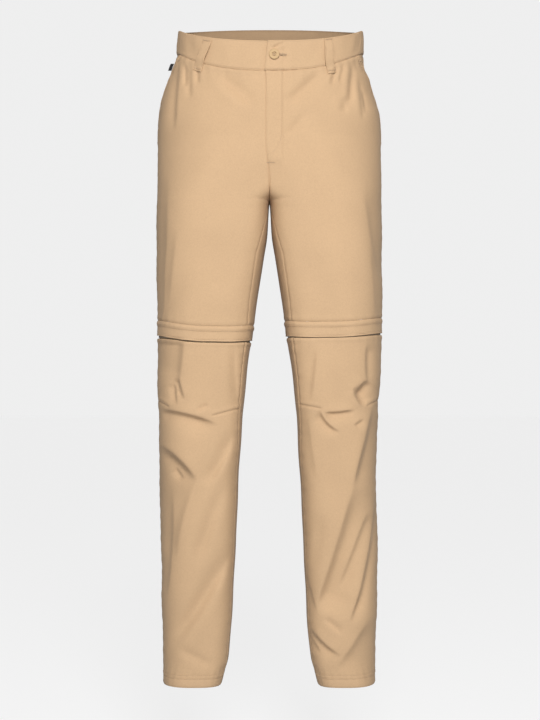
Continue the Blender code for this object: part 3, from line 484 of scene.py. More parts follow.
def add_node(tree, kind, sources, values, **settings):
    """Shader node with its settings, its fixed inputs and the outputs that feed its other inputs"""
    node = tree.nodes.new("ShaderNode" + kind)
    for title, value in settings.items():
        setattr(node, title, value)
    for title, value in values.items():
        node.inputs[title].default_value = value
    for title, source in sources.items():
        tree.links.new(source, node.inputs[title])
    return node


def noise_node(tree, scale, detail=2.0):
    """Noise on Object coordinates"""
    place = add_node(tree, "TexCoord", {}, {})
    return add_node(tree, "TexNoise", {"Vector": place.outputs["Object"]}, {"Scale": scale, "Detail": detail})


def ramp_node(tree, source, colours, ends=(0.0, 1.0)):
    """Ramp between two colours"""
    ramp = add_node(tree, "ValToRGB", {"Fac": source}, {})
    for element, colour, end in zip(ramp.color_ramp.elements, colours, ends):
        element.position = end
        element.color = (*colour, 1.0)
    return ramp


def cloth_material(name, colour, yarn=0.00055):
    """Fine plain weave on the panel's own cut"""
    material, tree, shader = new_material(name, {
        "Roughness": 0.82, "Specular IOR Level": 0.20, "Sheen Weight": 0.05, "Sheen Roughness": 0.45,
        "Sheen Tint": (1.0, 0.93, 0.82, 1.0)})
    cut = add_node(tree, "UVMap", {}, {}, uv_map="cut")
    waves = []
    for direction in ("X", "Y"):
        waves.append(add_node(tree, "TexWave", {"Vector": cut.outputs["UV"]},
                              {"Scale": 0.314 / yarn, "Distortion": 0.6, "Detail": 1.0},
                              wave_type="BANDS", bands_direction=direction).outputs["Fac"])
    weave = add_node(tree, "Math", {0: waves[0], 1: waves[1]}, {}, operation="MULTIPLY")
    slub = noise_node(tree, 420.0, 3.0)
    dye = noise_node(tree, 16.0, 4.0)
    tone = add_node(tree, "Math", {0: slub.outputs["Fac"], 1: weave.outputs["Value"]}, {}, operation="ADD")
    tones = [[share * part for part in colour] for share in (0.90, 1.06)]
    ramp = ramp_node(tree, tone.outputs["Value"], tones, (0.25, 1.25 / 1.3))
    shade = add_node(tree, "MapRange", {"Value": dye.outputs["Fac"]},
                     {"From Min": 0.3, "From Max": 0.7, "To Min": 0.965, "To Max": 1.02})
    mix = add_node(tree, "VectorMath", {0: ramp.outputs["Color"], "Scale": shade.outputs["Result"]}, {},
                   operation="SCALE")
    tree.links.new(mix.outputs["Vector"], shader.inputs["Base Color"])
    bump = add_node(tree, "Bump", {"Height": tone.outputs["Value"]}, {"Strength": 0.35, "Distance": 0.00012})
    tree.links.new(bump.outputs["Normal"], shader.inputs["Normal"])
    return material


def mottled_material(name, dark, light, scale, values, detail=2.0):
    """Two close tones in a fine noise"""
    material, tree, shader = new_material(name, values)
    ramp = ramp_node(tree, noise_node(tree, scale, detail).outputs["Fac"], (dark, light))
    tree.links.new(ramp.outputs["Color"], shader.inputs["Base Color"])
    return material


TAN = (0.500, 0.335, 0.196)
tan_cloth = cloth_material("tan woven cloth", TAN)
SHELL = 0.0009


# Upper legs: a front and a back for each side, joined at the side seam, the inside leg and the centre. The
# front stops at the slanted pocket mouth. Their lower edge is sewn to the flap that covers the leg zip.
BAND_BOTTOM_Z = -0.0387
BAND_BOTTOM = {"front": -0.0404, "back": 0.0127}
BAND_BOTTOM_POWER = 2.1
BAND_TOP = {"front": -0.0320, "back": 0.0190}
BAND_TOP_POWER = 1.5
FLAP_SEAM = {"right": {"inner": -0.4785, "outer": -0.4700, "front_dip": 0.0058},
             "left": {"inner": -0.4715, "outer": -0.4662, "front_dip": 0.0044}}
POCKET_TOP_INSET = 0.0430
POCKET_BOTTOM_Z = -0.1850
POCKET_ROWS = (0.0022, 0.0082)
TOP_LEVEL, BOTTOM_LEVEL = -0.0390, -0.4755
TOP_SETTLE_Z, BOTTOM_SETTLE_Z = -0.1650, -0.4000
PANEL_COLUMNS = {"front": 122, "back": 84}


def depth_share(angle, height):
    """0 at the side seam and 1 at the centre front or centre back"""
    return np.abs(np.sin(angle)) ** (2.0 / ring("squareness", height))


def band_bottom(angle):
    """Height of the seam below the waistband"""
    change = np.where(np.asarray(angle) > 0.0, BAND_BOTTOM["front"], BAND_BOTTOM["back"])
    return BAND_BOTTOM_Z + change * depth_share(angle, BAND_BOTTOM_Z) ** BAND_BOTTOM_POWER


def band_top(angle):
    """Height of the waistband's top edge"""
    change = np.where(np.asarray(angle) > 0.0, BAND_TOP["front"], BAND_TOP["back"])
    return change * depth_share(angle, 0.0) ** BAND_TOP_POWER


def flap_seam(leg, angle):
    """Height of the seam above a leg flap"""
    heights = FLAP_SEAM[leg]
    slope = (heights["inner"] - heights["outer"]) * (0.5 + 0.5 * np.cos(angle))
    return heights["outer"] + slope - heights["front_dip"] * np.clip(np.sin(angle), 0.0, 1.0) ** 3


def pocket_inset(level):
    """Distance of the pocket mouth from the side seam"""
    share = (level - POCKET_BOTTOM_Z) / (TOP_LEVEL - POCKET_BOTTOM_Z)
    return POCKET_TOP_INSET * np.clip(share, 0.0, 1.0) ** 1.2


def upper_height(leg, angle, level):
    """Height of a row of the upper leg, which follows the waistband and the flap seam"""
    top_fade = np.clip((level - TOP_SETTLE_Z) / (TOP_LEVEL - TOP_SETTLE_Z), 0.0, 1.0)
    bottom_fade = np.clip((BOTTOM_SETTLE_Z - level) / (BOTTOM_SETTLE_Z - BOTTOM_LEVEL), 0.0, 1.0)
    top_move = band_bottom(angle) - SEAM - TOP_LEVEL
    bottom_move = flap_seam(leg, angle) - BOTTOM_LEVEL
    return level + top_fade * top_move + bottom_fade * bottom_move


def upper_levels(face):
    """Rows of the upper leg, close together at both seams and at the crotch"""
    fine = 1.0 if face == "front" else 0.72
    edge = np.array((0.0, 0.0007, 0.0016, 0.0030, 0.0050))
    above = np.linspace(TOP_LEVEL - 0.0070, -0.2300, int(80 * fine))
    crotch = np.linspace(-0.2650, -0.2845, int(56 * fine))
    crotch = np.concatenate((np.linspace(-0.2320, -0.2640, 14), crotch, np.linspace(-0.2860, -0.3000, 9)))
    below = np.linspace(-0.3020, BOTTOM_LEVEL + 0.0070, int(70 * fine))
    return np.concatenate((TOP_LEVEL - edge, above, crotch, below, BOTTOM_LEVEL + edge[::-1]))


def build_upper(leg, face):
    """One upper leg panel, with rolled seam edges and puckers"""
    levels = upper_levels(face)
    side = math.pi if face == "front" else -math.pi
    angles, places = [], []
    for level in levels:
        end, held = side, None
        if face == "front":
            end = from_side_seam(leg, level, pocket_inset(level) + 0.5 * SEAM)
            weight = soft_step(level, -0.40, -0.30) * (1.0 - soft_step(level, -0.24, -0.17))
            held = (angle_at_x(leg, level, 0.032), weight)
        row, place = spread(leg, level, start_angle(leg, level, face), end, PANEL_COLUMNS[face], held)
        angles.append(row)
        places.append(place)
    angle, place = np.array(angles), np.array(places)
    height = upper_height(leg, angle, levels[:, None])
    above = levels > CROTCH_Z
    angle[above, 0] = start_angle(leg, height[above, 0], face)
    from_start, from_end = place, place[:, -1:] - place
    from_top, from_bottom = (TOP_LEVEL - levels)[:, None], (levels - BOTTOM_LEVEL)[:, None]
    rolled = 1.0 - soft_step(levels, CROTCH_Z - 0.014, CROTCH_Z - 0.004)[:, None]
    if face == "back":
        rolled = rolled + soft_step(levels, CROTCH_Z + 0.050, CROTCH_Z + 0.080)[:, None]
    out = seam_roll(from_start, 0.0006) * rolled + seam_roll(from_top, 0.0011) + seam_roll(from_bottom)
    mouth = 0.0
    if face == "front":
        out = out - 0.0009 * dip(from_start, 0.0017) * (1.0 - rolled)
        mouth = soft_step(levels, POCKET_BOTTOM_Z - 0.01, POCKET_BOTTOM_Z)[:, None]
    sewn = dip(from_end - POCKET_ROWS[0], 0.0012) + dip(from_end - POCKET_ROWS[1], 0.0016)
    mouth_edge = 0.0008 * dip(from_end, 0.009) - 0.0006 * sewn
    out = out + seam_roll(from_end, 0.0007) * (1.0 - mouth) + mouth * mouth_edge
    out = out + pucker(place, from_top, 0.016, 0.00030, 0.022) + pucker(place, from_bottom, 0.019, 0.00022)
    out = out + pucker(levels[:, None], from_end, 0.017, 0.00022)
    out = out + pucker(levels[:, None], from_start, 0.019, 0.00016) * rolled
    return shell_on(f"{face}_panel_upper_{leg}", leg, angle, height, out, SHELL, tan_cloth)


for leg in ("right", "left"):
    front = build_upper(leg, "front")
    finish_sheet(front, [f"front_upper_{leg}"])
    back = build_upper(leg, "back")
    finish_sheet(back, [f"back_upper_{leg}"])


# Pocket facings: the strips of trouser cloth that show behind each slanted pocket mouth. In the real pair
# they are the edge of the pocket bags, sewn in at the side seam and below the band.
def build_facing(leg):
    """Facing from the side seam to a little way below the front"""
    levels = np.linspace(TOP_LEVEL, -0.1700, 46)
    angle = []
    for level in levels:
        distance = np.linspace(float(pocket_inset(level)) + 0.018, SEAM, 24)
        angle.append(from_side_seam(leg, level, distance))
    angle = np.array(angle)
    height = upper_height(leg, angle, levels[:, None])
    return shell_on(f"pocket_facing_cloth_{leg}", leg, angle, height, -0.0016 + 0.0 * angle, SHELL, tan_cloth)


for leg in ("right", "left"):
    facing = build_facing(leg)
    finish_sheet(facing, [f"pocket_facing_{leg}"])


# Leg zips and their flaps: the zip tape runs round inside the leg, with its coil of fine teeth, and the
# flap is a folded strip of the trouser cloth that hangs over it and leaves a narrow gap above the lower leg.
FLAP_LENGTH = 0.0241
FLAP_STAND_OFF = 0.0007
FLAP_RIDGE = 0.0012
FLAP_THICK = 0.0014
ZIP_GAP = {"right": {"inner": 0.0036, "middle": 0.0026, "outer": 0.0056},
           "left": {"inner": 0.0034, "middle": 0.0017, "outer": 0.0038}}
ZIP_TOP_DROP = 0.0010
ZIP_TUCK = 0.0080
ZIP_SINK = 0.0030
ZIP_TAPE_THICK = 0.0006
ZIP_TOOTH_PITCH = 0.0016
ZIP_TOOTH = (0.0036, 0.0011, 0.0012)


def zip_gap(leg, angle):
    """Height of the gap that shows the zip below a flap"""
    sizes = ZIP_GAP[leg]
    end = np.where(np.cos(angle) > 0.0, sizes["inner"], sizes["outer"])
    return sizes["middle"] + (end - sizes["middle"]) * np.cos(angle) ** 2


def round_angles(leg, height, columns):
    """Angles spread evenly all round a leg"""
    angles, lengths = arc(leg, height, -math.pi, math.pi, 720)
    return np.interp(np.arange(columns) * lengths[-1] / columns, lengths, angles), lengths[-1]


tape_material = cloth_material("tan zip tape", (0.32, 0.215, 0.120), 0.0008)
tooth_material = mottled_material("tan nylon coil", (0.14, 0.095, 0.055), (0.24, 0.165, 0.095), 900.0,
                                  {"Roughness": 0.38})


def small_blocks(name, centres, along, outwards, size, material):
    """Many small six-sided blocks with pinched ends, joined as one piece. Size is length, width, thickness"""
    along = along / np.linalg.norm(along, axis=-1, keepdims=True)
    across = np.cross(outwards, along)
    across /= np.linalg.norm(across, axis=-1, keepdims=True)
    up = np.cross(along, across)
    length, width, thick = size
    turn = np.arange(6) * math.pi / 3.0
    points = [centres - along * length / 2, centres + along * length / 2]
    for share in (-0.30, 0.30):
        for t in turn:
            points.append(centres + along * (share * length) + across * (width / 2 * math.cos(t))
                          + up * (thick / 2 * math.sin(t)))
    points = np.stack(points, axis=1)
    faces = []
    for k in range(6):
        n = (k + 1) % 6
        faces += [(0, 2 + n, 2 + k), (2 + k, 2 + n, 8 + n, 8 + k), (1, 8 + k, 8 + n)]
    made_faces = []
    for offset in range(0, len(centres) * points.shape[1], points.shape[1]):
        made_faces += [[offset + corner for corner in face] for face in faces]
    mesh = bpy.data.meshes.new(name)
    mesh.from_pydata(points.reshape(-1, 3).tolist(), [], made_faces)
    return add_piece(name, mesh, material)


def finish_detail(piece):
    """Fix a small added piece to the part"""
    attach(piece, "root")


def build_zip(leg):
    """Tape all round the leg and a row of fine teeth where the gap shows"""
    angle, around = round_angles(leg, FLAP_SEAM[leg]["outer"], 200)
    share = np.linspace(0.0, 1.0, 9)[:, None]
    full = FLAP_LENGTH + zip_gap(leg, angle) + ZIP_TUCK
    height = flap_seam(leg, angle) - ZIP_TOP_DROP - share * (full - ZIP_TOP_DROP)
    tape = shell_on(f"zip_tape_ring_{leg}", leg, angle + 0.0 * share, height, -ZIP_SINK + 0.0 * height,
                    ZIP_TAPE_THICK, tape_material, closed=True)
    finish_sheet(tape, [f"zip_tape_{leg}"])
    count = int(around / ZIP_TOOTH_PITCH)
    angle, _ = round_angles(leg, FLAP_SEAM[leg]["outer"], count)
    height = flap_seam(leg, angle) - FLAP_LENGTH - 0.5 * zip_gap(leg, angle)
    centre = cloth(leg, angle, height, -ZIP_SINK + 0.0005)
    outer = cloth(leg, angle, height, -ZIP_SINK + 0.0015)
    tangent = np.roll(centre, -1, axis=0) - centre
    tangent[-1] = tangent[-2]
    upright = np.cross(outer - centre, tangent)
    teeth = small_blocks(f"zip_teeth_{leg}", centre, upright, outer - centre, ZIP_TOOTH, tooth_material)
    finish_detail(teeth)


def build_flap(leg):
    """Folded strip over the zip: a ridge below its seam, a slack middle and a free lower edge"""
    columns = 230
    angle, around = round_angles(leg, FLAP_SEAM[leg]["outer"], columns)
    share = np.concatenate(((0.0, 0.03, 0.07, 0.13), np.linspace(0.2, 0.94, 13), (0.97, 1.0)))[:, None]
    height = flap_seam(leg, angle) - SEAM - share * FLAP_LENGTH
    place = np.arange(columns) * around / columns
    turn = 2 * math.pi * place
    slack = 0.00035 * np.sin(turn / 0.061) + 0.00030 * np.sin(turn / 0.037 + 1.2)
    out = FLAP_STAND_OFF * share ** 2 + FLAP_RIDGE * dip(share - 0.20, 0.13)
    out = out + slack * share + pucker(place, share * FLAP_LENGTH, 0.011, 0.00022, 0.008)
    out = out - 0.0008 * dip(share, 0.05) - 0.00035 * dip(share - 0.88, 0.05)
    flap = shell_on(f"flap_strip_{leg}", leg, angle + 0.0 * share, height, out, FLAP_THICK, tan_cloth,
                    closed=True)
    finish_sheet(flap, [f"zip_flap_{leg}"])


for leg in ("right", "left"):
    build_zip(leg)
    build_flap(leg)


# Lower legs: the part that zips off, a front and a back on each side, with a dart at each end of the knee
# and a turned-up hem sewn with two rows.
HEM_Z = -1.0572
HEM_ROWS = (0.0140, 0.0200)
LOWER_TOP_LEVEL = -0.4985
LOWER_SETTLE_Z = -0.5400
# Knee darts: leg, end at the seam and end on the knee, as distance from the middle and height
DARTS = (
    ("right", 0.1780, -0.5990, 0.1600, -0.6086),
    ("right", 0.0440, -0.6105, 0.0903, -0.6222),
    ("left", 0.1730, -0.5985, 0.1546, -0.6070),
    ("left", 0.0410, -0.6036, 0.0824, -0.6109),
)
DART_DEPTH = 0.0011


def dart_lift(leg, x, height):
    """The stitched line of the knee darts, sunk with a small roll above it"""
    total = np.zeros_like(x)
    for dart_leg, x0, z0, x1, z1 in DARTS:
        if dart_leg != leg:
            continue
        along, across = line_place(x, height, x0, z0, x1, z1, 0.0)
        across = across * (1.0 if x1 > x0 else -1.0)
        ends = soft_step(along, -0.12, 0.02) * (1.0 - soft_step(along, 0.90, 1.05))
        total -= DART_DEPTH * ends * (dip(across, 0.0018) - 0.5 * dip(across + 0.0050, 0.0032))
    return total


def lower_levels(face):
    """Rows of the lower leg, close together at its top, at the knee and at the hem's sewing"""
    fine = 1.0 if face == "front" else 0.66
    edge = np.array((0.0, 0.0006, 0.0014, 0.0026, 0.0042))
    knee = np.linspace(-0.5040, -0.6500, int(112 * fine))
    shin = np.linspace(-0.6520, HEM_Z + 0.0240, int(176 * fine))
    hem = [HEM_Z + sewn + step for sewn in HEM_ROWS[::-1] for step in (0.0016, 0.0, -0.0016)]
    last = [HEM_Z + s for s in (0.0095, 0.0065, 0.0040, 0.0020, 0.0008, 0.0)]
    return np.concatenate((LOWER_TOP_LEVEL - edge, knee, shin, hem, last))


def build_lower(leg, face):
    """One lower leg panel"""
    levels = lower_levels(face)
    side = math.pi if face == "front" else -math.pi
    angles, places = [], []
    for level in levels:
        row, place = spread(leg, level, float(start_angle(leg, level, face)), side, PANEL_COLUMNS[face])
        angles.append(row)
        places.append(place)
    angle, place = np.array(angles), np.array(places)
    fade = np.clip((levels - LOWER_SETTLE_Z) / (LOWER_TOP_LEVEL - LOWER_SETTLE_Z), 0.0, 1.0)[:, None]
    top = flap_seam(leg, angle) - FLAP_LENGTH - zip_gap(leg, angle)
    height = levels[:, None] + fade * (top - LOWER_TOP_LEVEL)
    from_start, from_end = place, place[:, -1:] - place
    from_top, from_hem = (LOWER_TOP_LEVEL - levels)[:, None], (levels - HEM_Z)[:, None]
    out = seam_roll(from_start) + seam_roll(from_end)
    out = out - 0.0006 * dip(from_top, 0.0011) + 0.0005 * dip(from_top - 0.004, 0.003)
    for sewn in HEM_ROWS:
        out = out - 0.0007 * dip(from_hem - sewn, 0.0014)
    out = out + 0.0005 * (1.0 - soft_step(from_hem, HEM_ROWS[1], HEM_ROWS[1] + 0.003))
    out = out - 0.0009 * dip(from_hem, 0.0012) + pucker(place, from_hem - HEM_ROWS[1], 0.012, 0.00022, 0.012)
    out = out + pucker(place, from_top, 0.015, 0.00022)
    for from_edge in (from_start, from_end):
        out = out + pucker(levels[:, None], from_edge, 0.018, 0.00026)
    if face == "front":
        out = out + dart_lift(leg, plain_ring(leg, angle, height)[0], height)
    return shell_on(f"{face}_panel_lower_{leg}", leg, angle, height, out, SHELL, tan_cloth)


for leg in ("right", "left"):
    front = build_lower(leg, "front")
    finish_sheet(front, [f"front_lower_{leg}"])
    back = build_lower(leg, "back")
    finish_sheet(back, [f"back_lower_{leg}"])


# Waistband: a straight doubled band with a firm layer inside, in three lengths. The left front end laps
# over the right one at the centre, holds the buttonhole and creases a little beside the button.
BAND_END_X_TOP = -0.0030
BAND_END_X_BOTTOM = -0.0080
BAND_OVERLAP = 0.0340
BAND_RAISE = 0.0013
BAND_UNDERLAP_EASE = 0.0120
BAND_THICK = 0.0022
BAND_BACK_COLUMNS = 90
LAP_SINK = 0.0016


def band_height(angle, share):
    """Height on the waistband between its top and bottom edge"""
    return band_top(angle) + (band_bottom(angle) - SEAM + 0.0003 - band_top(angle)) * share


def band_end_x(share):
    """Leaning end of the overlapping waistband"""
    return BAND_END_X_TOP + (BAND_END_X_BOTTOM - BAND_END_X_TOP) * share


BAND_EDGE_SHARES = (0.0, 0.015, 0.04, 0.08)
BAND_SHARES = np.concatenate((BAND_EDGE_SHARES, np.linspace(0.13, 0.87, 16), (0.92, 0.96, 0.985, 1.0)))
# Creases beside the button: start, end, width and depth
BAND_CREASES = (
    (0.0050, -0.0450, 0.0245, -0.0340, 0.0020, 0.0024),
    (0.0120, -0.0500, 0.0340, -0.0420, 0.0030, 0.0008),
    (0.0160, -0.0580, 0.0330, -0.0590, 0.0016, 0.0006),
)


def band_swell(share, place):
    """Rolled edges, a faintly padded middle and slow unevenness of a band"""
    edges = -0.0009 * dip(share, 0.025) - 0.0009 * dip(1.0 - share, 0.03)
    middle = 0.0004 * np.sin(math.pi * share) + 0.0003 * dip(share - 0.90, 0.05)
    turn = 2 * math.pi * place
    slow = 0.00030 * np.sin(turn / 0.047 + 2.0 * share) + 0.00022 * np.sin(turn / 0.029)
    return edges + middle + slow * np.sin(math.pi * share)


def band_drag(x, height):
    """How far the creases beside the button sink"""
    total = 0.0 * x
    for x0, z0, x1, z1, width, depth in BAND_CREASES:
        along, across = line_place(x, height, x0, z0, x1, z1, 0.0)
        ends = soft_step(along, -0.05, 0.12) * (1.0 - soft_step(along, 0.45, 1.05))
        total = total - depth * ends * (dip(across, width) - 0.7 * dip(across + 2.2 * width, 1.5 * width))
    return total


def lap_lift(leg, x, share):
    """The left band end stands up over the right one, which is pressed in below it"""
    if leg == "left":
        return BAND_RAISE * (1.0 - soft_step(x, BAND_OVERLAP - 0.004, BAND_OVERLAP + 0.012))
    edge = -band_end_x(share)
    return -LAP_SINK * (1.0 - soft_step(x, edge, edge + BAND_UNDERLAP_EASE))


def build_band_front(leg):
    """Front band of one side"""
    angles, outs = [], []
    for share in BAND_SHARES:
        level = float(band_height(0.5 * math.pi, share))
        end_x = band_end_x(share) if leg == "left" else -(BAND_OVERLAP + band_end_x(share))
        start = float(angle_at_x(leg, level, end_x))
        row, place = spread(leg, level, start, math.pi, 110)
        x, _ = plain_ring(leg, row, level)
        from_side = place[-1] - place
        out = band_swell(share, place) + lap_lift(leg, x, share)
        if leg == "left":
            out = out - 0.0009 * dip(place, 0.0012) + band_drag(x, band_height(row, share))
        side_waves = dip(from_side, 0.035) * math.sin(math.pi * share)
        out = out + 0.0007 * side_waves * np.sin(2 * math.pi * place / 0.0125)
        angles.append(row)
        outs.append(out - 0.0006 * dip(from_side, 0.0014))
    angle = np.array(angles)
    height = band_height(angle, BAND_SHARES[:, None])
    return shell_on(f"waistband_{leg}", leg, angle, height, np.array(outs), BAND_THICK, tan_cloth)


def build_band_back():
    """Back band from side seam to side seam, gathered a little at both ends"""
    grids = {}
    for leg in ("right", "left"):
        rows, heights, outs = [], [], []
        for share in BAND_SHARES:
            level = float(band_height(-0.5 * math.pi, share))
            row, place = spread(leg, level, -0.5 * math.pi, -math.pi, BAND_BACK_COLUMNS)
            from_side = place[-1] - place
            out = band_swell(share, place + 0.013) - 0.0006 * dip(from_side, 0.0014)
            ripples = np.exp(-(from_side / 0.075) ** 4) * math.sin(math.pi * share) ** 0.7
            rows.append(row)
            heights.append(band_height(row, share))
            outs.append(out + 0.0008 * ripples * np.sin(2 * math.pi * from_side / 0.0115))
        angle, height, out = np.array(rows), np.array(heights), np.array(outs)
        grids[leg] = (cloth(leg, angle, height, out), cloth(leg, angle, height, out - BAND_THICK))
    halves = zip(grids["right"], grids["left"])
    outer, inner = (np.concatenate((right[:, ::-1], left[:, 1:]), axis=1) for right, left in halves)
    cut = np.stack((lengths_across(outer), outer[..., 2]), axis=-1)
    return make_shell("waistband_rear", outer, inner, cut, tan_cloth)


for leg, width in (("right", 0.240), ("left", 0.210)):
    finish_sheet(build_band_front(leg), [f"waistband_front_{leg}"])
band_back = build_band_back()
# The back band's inner face gets a darker copy of the trouser cloth: painted shade for the shadow that falls
# inside the back of the waist
inside_cloth_painted_shade = cloth_material("waistband inside cloth with painted shade", [0.74 * part for part in TAN])
band_back.data.materials.append(inside_cloth_painted_shade)
quads = (len(BAND_SHARES) - 1) * (2 * BAND_BACK_COLUMNS - 2)
for face in band_back.data.polygons[quads:2 * quads]:
    face.material_index = 1
finish_sheet(band_back, ["waistband_back"])


# Belt loops: narrow strips of the trouser cloth, folded to three layers and stitched along both edges, sewn
# down with bar tacks at the top of the band and below its seam.
LOOP_WIDTH = 0.0132
LOOP_STAND_OFF = 0.0036
LOOP_THICK = 0.0014
LOOP_BELOW_BAND = 0.0140
LOOPS = (
    ("belt_loop_front_right", "right", "front", 0.0985, 0.1045, 0.0040),
    ("belt_loop_front_left", "left", "front", 0.0930, 0.0920, 0.0005),
    ("belt_loop_side_back_right", "right", "back", 0.0900, 0.0920, 0.0010),
    ("belt_loop_side_back_left", "left", "back", 0.0900, 0.0920, 0.0010),
    ("belt_loop_centre_back", "left", "back", 0.0000, 0.0000, 0.0010),
)


def loop_grid(row, shares, parts):
    """Angles, heights and stand-off on a belt loop, at shares of its length and parts of its width"""
    _, leg, face, x_top, x_bottom, drop = row
    sign = 1.0 if face == "front" else -1.0
    share, part = np.meshgrid(shares, parts, indexing="ij")
    x = x_top + (x_bottom - x_top) * share + part * LOOP_WIDTH
    angle = angle_at_x(leg, BAND_BOTTOM_Z, x, face)
    top = band_top(sign * np.abs(angle)) - drop
    bottom = band_bottom(sign * np.abs(angle)) - LOOP_BELOW_BAND
    rise = soft_step(share, 0.06, 0.34) * (1.0 - soft_step(share, 0.58, 0.88))
    return angle, top + (bottom - top) * share, 0.0008 + LOOP_STAND_OFF * rise


for row in LOOPS:
    shares = np.concatenate(((0.0, 0.01, 0.03), np.linspace(0.06, 0.94, 40), (0.97, 0.99, 1.0)))
    half = np.array((0.1, 0.2, 0.30, 0.38, 0.44, 0.48, 0.5))
    parts = np.concatenate((-half[::-1], (0.0,), half))
    angle, height, out = loop_grid(row, shares, parts)
    edge = 0.0003 * dip(np.abs(parts) - 0.36, 0.05)
    out = out + LOOP_THICK - edge[None, :] - 0.0005 * dip(0.5 - np.abs(parts), 0.03)[None, :]
    loop = shell_on(row[0] + "_strip", row[1], angle, height, out, LOOP_THICK, tan_cloth)
    finish_sheet(loop, [row[0]])


# Sewing: polyester thread a shade darker than the cloth, in rows of short stitches that sink a little
# into it, with dense bar tacks where the pockets, the fly and the belt loops take strain.
thread = mottled_material("tan sewing thread", (0.33, 0.215, 0.120), (0.47, 0.320, 0.190), 1200.0,
                          {"Roughness": 0.55, "Sheen Weight": 0.15})
STITCH_PITCH = 0.0030
STITCH = (0.0023, 0.00055, 0.00050)


def stitches_along(points, raised, pitch=STITCH_PITCH):
    """Middles, directions and outward sides of the stitches along a line of points"""
    lengths = np.concatenate(([0.0], np.cumsum(np.linalg.norm(np.diff(points, axis=0), axis=1))))
    count = max(int(lengths[-1] / pitch), 1)
    places = (np.arange(count) + 0.5) * lengths[-1] / count

    def at(values, where):
        return np.stack([np.interp(where, lengths, values[:, k]) for k in range(3)], axis=1)

    along = at(points, places + 0.0004) - at(points, places - 0.0004)
    return at(points, places), along, at(raised - points, places)


def sew(name, lines, size=STITCH, pitch=STITCH_PITCH):
    """Rows of stitches joined as one piece. A line is a leg with angles, heights and offsets on its cloth"""
    rows = []
    for leg, angle, height, out in lines:
        out = out + 0.0 * angle
        raised = cloth(leg, angle, height, out + 0.001)
        rows.append(stitches_along(cloth(leg, angle, height, out), raised, pitch))
    centres, along, outwards = (np.concatenate(row) for row in zip(*rows))
    finish_detail(small_blocks(name, centres, along, outwards, size, thread))


def zigzag(count, reach):
    """Steps up and down by turns"""
    return reach * np.where(np.arange(count) % 2 == 0, 1.0, -1.0)


steps = np.linspace(0.0, 1.0, 200)
lines = []
for leg in ("right", "left"):
    levels = TOP_LEVEL - 0.001 + (POCKET_BOTTOM_Z - TOP_LEVEL + 0.002) * steps
    for inset, out in zip(POCKET_ROWS, (0.0009, 0.0006)):
        angle = np.array([from_side_seam(leg, level, pocket_inset(level) + inset) for level in levels])
        lines.append((leg, angle, upper_height(leg, angle, levels), out))
sew("pocket_stitches", lines)

J_LINE_REACH, J_CURVE_Z, J_CURVE_HEIGHT = 0.0245, -0.1720, 0.0400
curve = steps * math.pi / 2
z = np.concatenate((np.linspace(-0.0800, J_CURVE_Z, 120), J_CURVE_Z - J_CURVE_HEIGHT * np.sin(curve)))
bent_x = FLY_EDGE_X + 0.001 + (J_LINE_REACH - 0.001) * np.cos(curve)
x = np.concatenate((np.full(120, FLY_EDGE_X + J_LINE_REACH), bent_x))
sew("fly_stitches", [("left", angle_at_x("left", z, x), z, 0.0003)])

lines = []
for leg in ("right", "left"):
    for face, end in (("front", math.pi), ("back", -math.pi)):
        angle = np.linspace(float(start_angle(leg, HEM_Z, face)), end, 200)
        lines += [(leg, angle, HEM_Z + sewn + 0.0 * angle, 0.0002) for sewn in HEM_ROWS]
    angle, _ = round_angles(leg, FLAP_SEAM[leg]["outer"], 300)
    for share, out in ((0.34, 0.0008), (0.88, 0.0006)):
        lines.append((leg, angle, flap_seam(leg, angle) - SEAM - share * FLAP_LENGTH, out))
sew("hem_and_flap_stitches", lines)

lines = []
for leg, x0, z0, x1, z1 in DARTS:
    x, z = x0 + (x1 - x0) * steps, z0 + (z1 - z0) * steps + 0.0022
    lines.append((leg, angle_at_x(leg, z, x), z, 0.0001))
sew("knee_dart_stitches", lines)

lines = []
for share in (0.045, 0.955):
    for leg, x_end in (("right", -BAND_END_X_TOP + 0.002), ("left", BAND_END_X_BOTTOM + 0.003)):
        front = np.linspace(float(angle_at_x(leg, BAND_BOTTOM_Z, x_end)), math.pi - 0.01, 240)
        height = band_height(front, share)
        lines.append((leg, front, height, lap_lift(leg, plain_ring(leg, front, height)[0], share)))
        back = np.linspace(-0.5 * math.pi, -math.pi + 0.01, 240)
        lines.append((leg, back, band_height(back, share), 0.0))
share = np.linspace(0.06, 0.94, 60)
height = band_height(0.5 * math.pi, share)
lines.append(("left", angle_at_x("left", height, band_end_x(share) + 0.0030), height, BAND_RAISE))
sew("waistband_stitches", lines)

lines = []
for row in LOOPS:
    for part in (-0.37, 0.37):
        angle, height, out = loop_grid(row, np.linspace(0.02, 0.98, 60), np.array((part,)))
        lines.append((row[1], angle[:, 0], height[:, 0], out[:, 0] + LOOP_THICK))
sew("belt_loop_stitches", lines, (0.0021, 0.00050, 0.00045), 0.0027)

lines = []
for row in LOOPS:
    for share in (0.045, 0.925):
        angle, height, out = loop_grid(row, np.array((share,)), np.linspace(-0.42, 0.42, 20))
        lines.append((row[1], angle[0], height[0] + zigzag(20, 0.0007), out[0] + 0.0016))
for leg in ("right", "left"):
    for level in (TOP_LEVEL - 0.010, POCKET_BOTTOM_Z + 0.004):
        angle = from_side_seam(leg, level, pocket_inset(level) + np.linspace(0.0005, 0.0095, 16))
        lines.append((leg, angle, upper_height(leg, angle, level) + zigzag(16, 0.0006), 0.0008))
angle = angle_at_x("left", FLY_BOTTOM_Z, FLY_EDGE_X + np.linspace(0.0010, 0.0130, 20))
lines.append(("left", angle, FLY_BOTTOM_Z + zigzag(20, 0.0006), 0.0001))
sew("bar_tacks", lines, (0.0019, 0.00060, 0.00060), 0.0011)


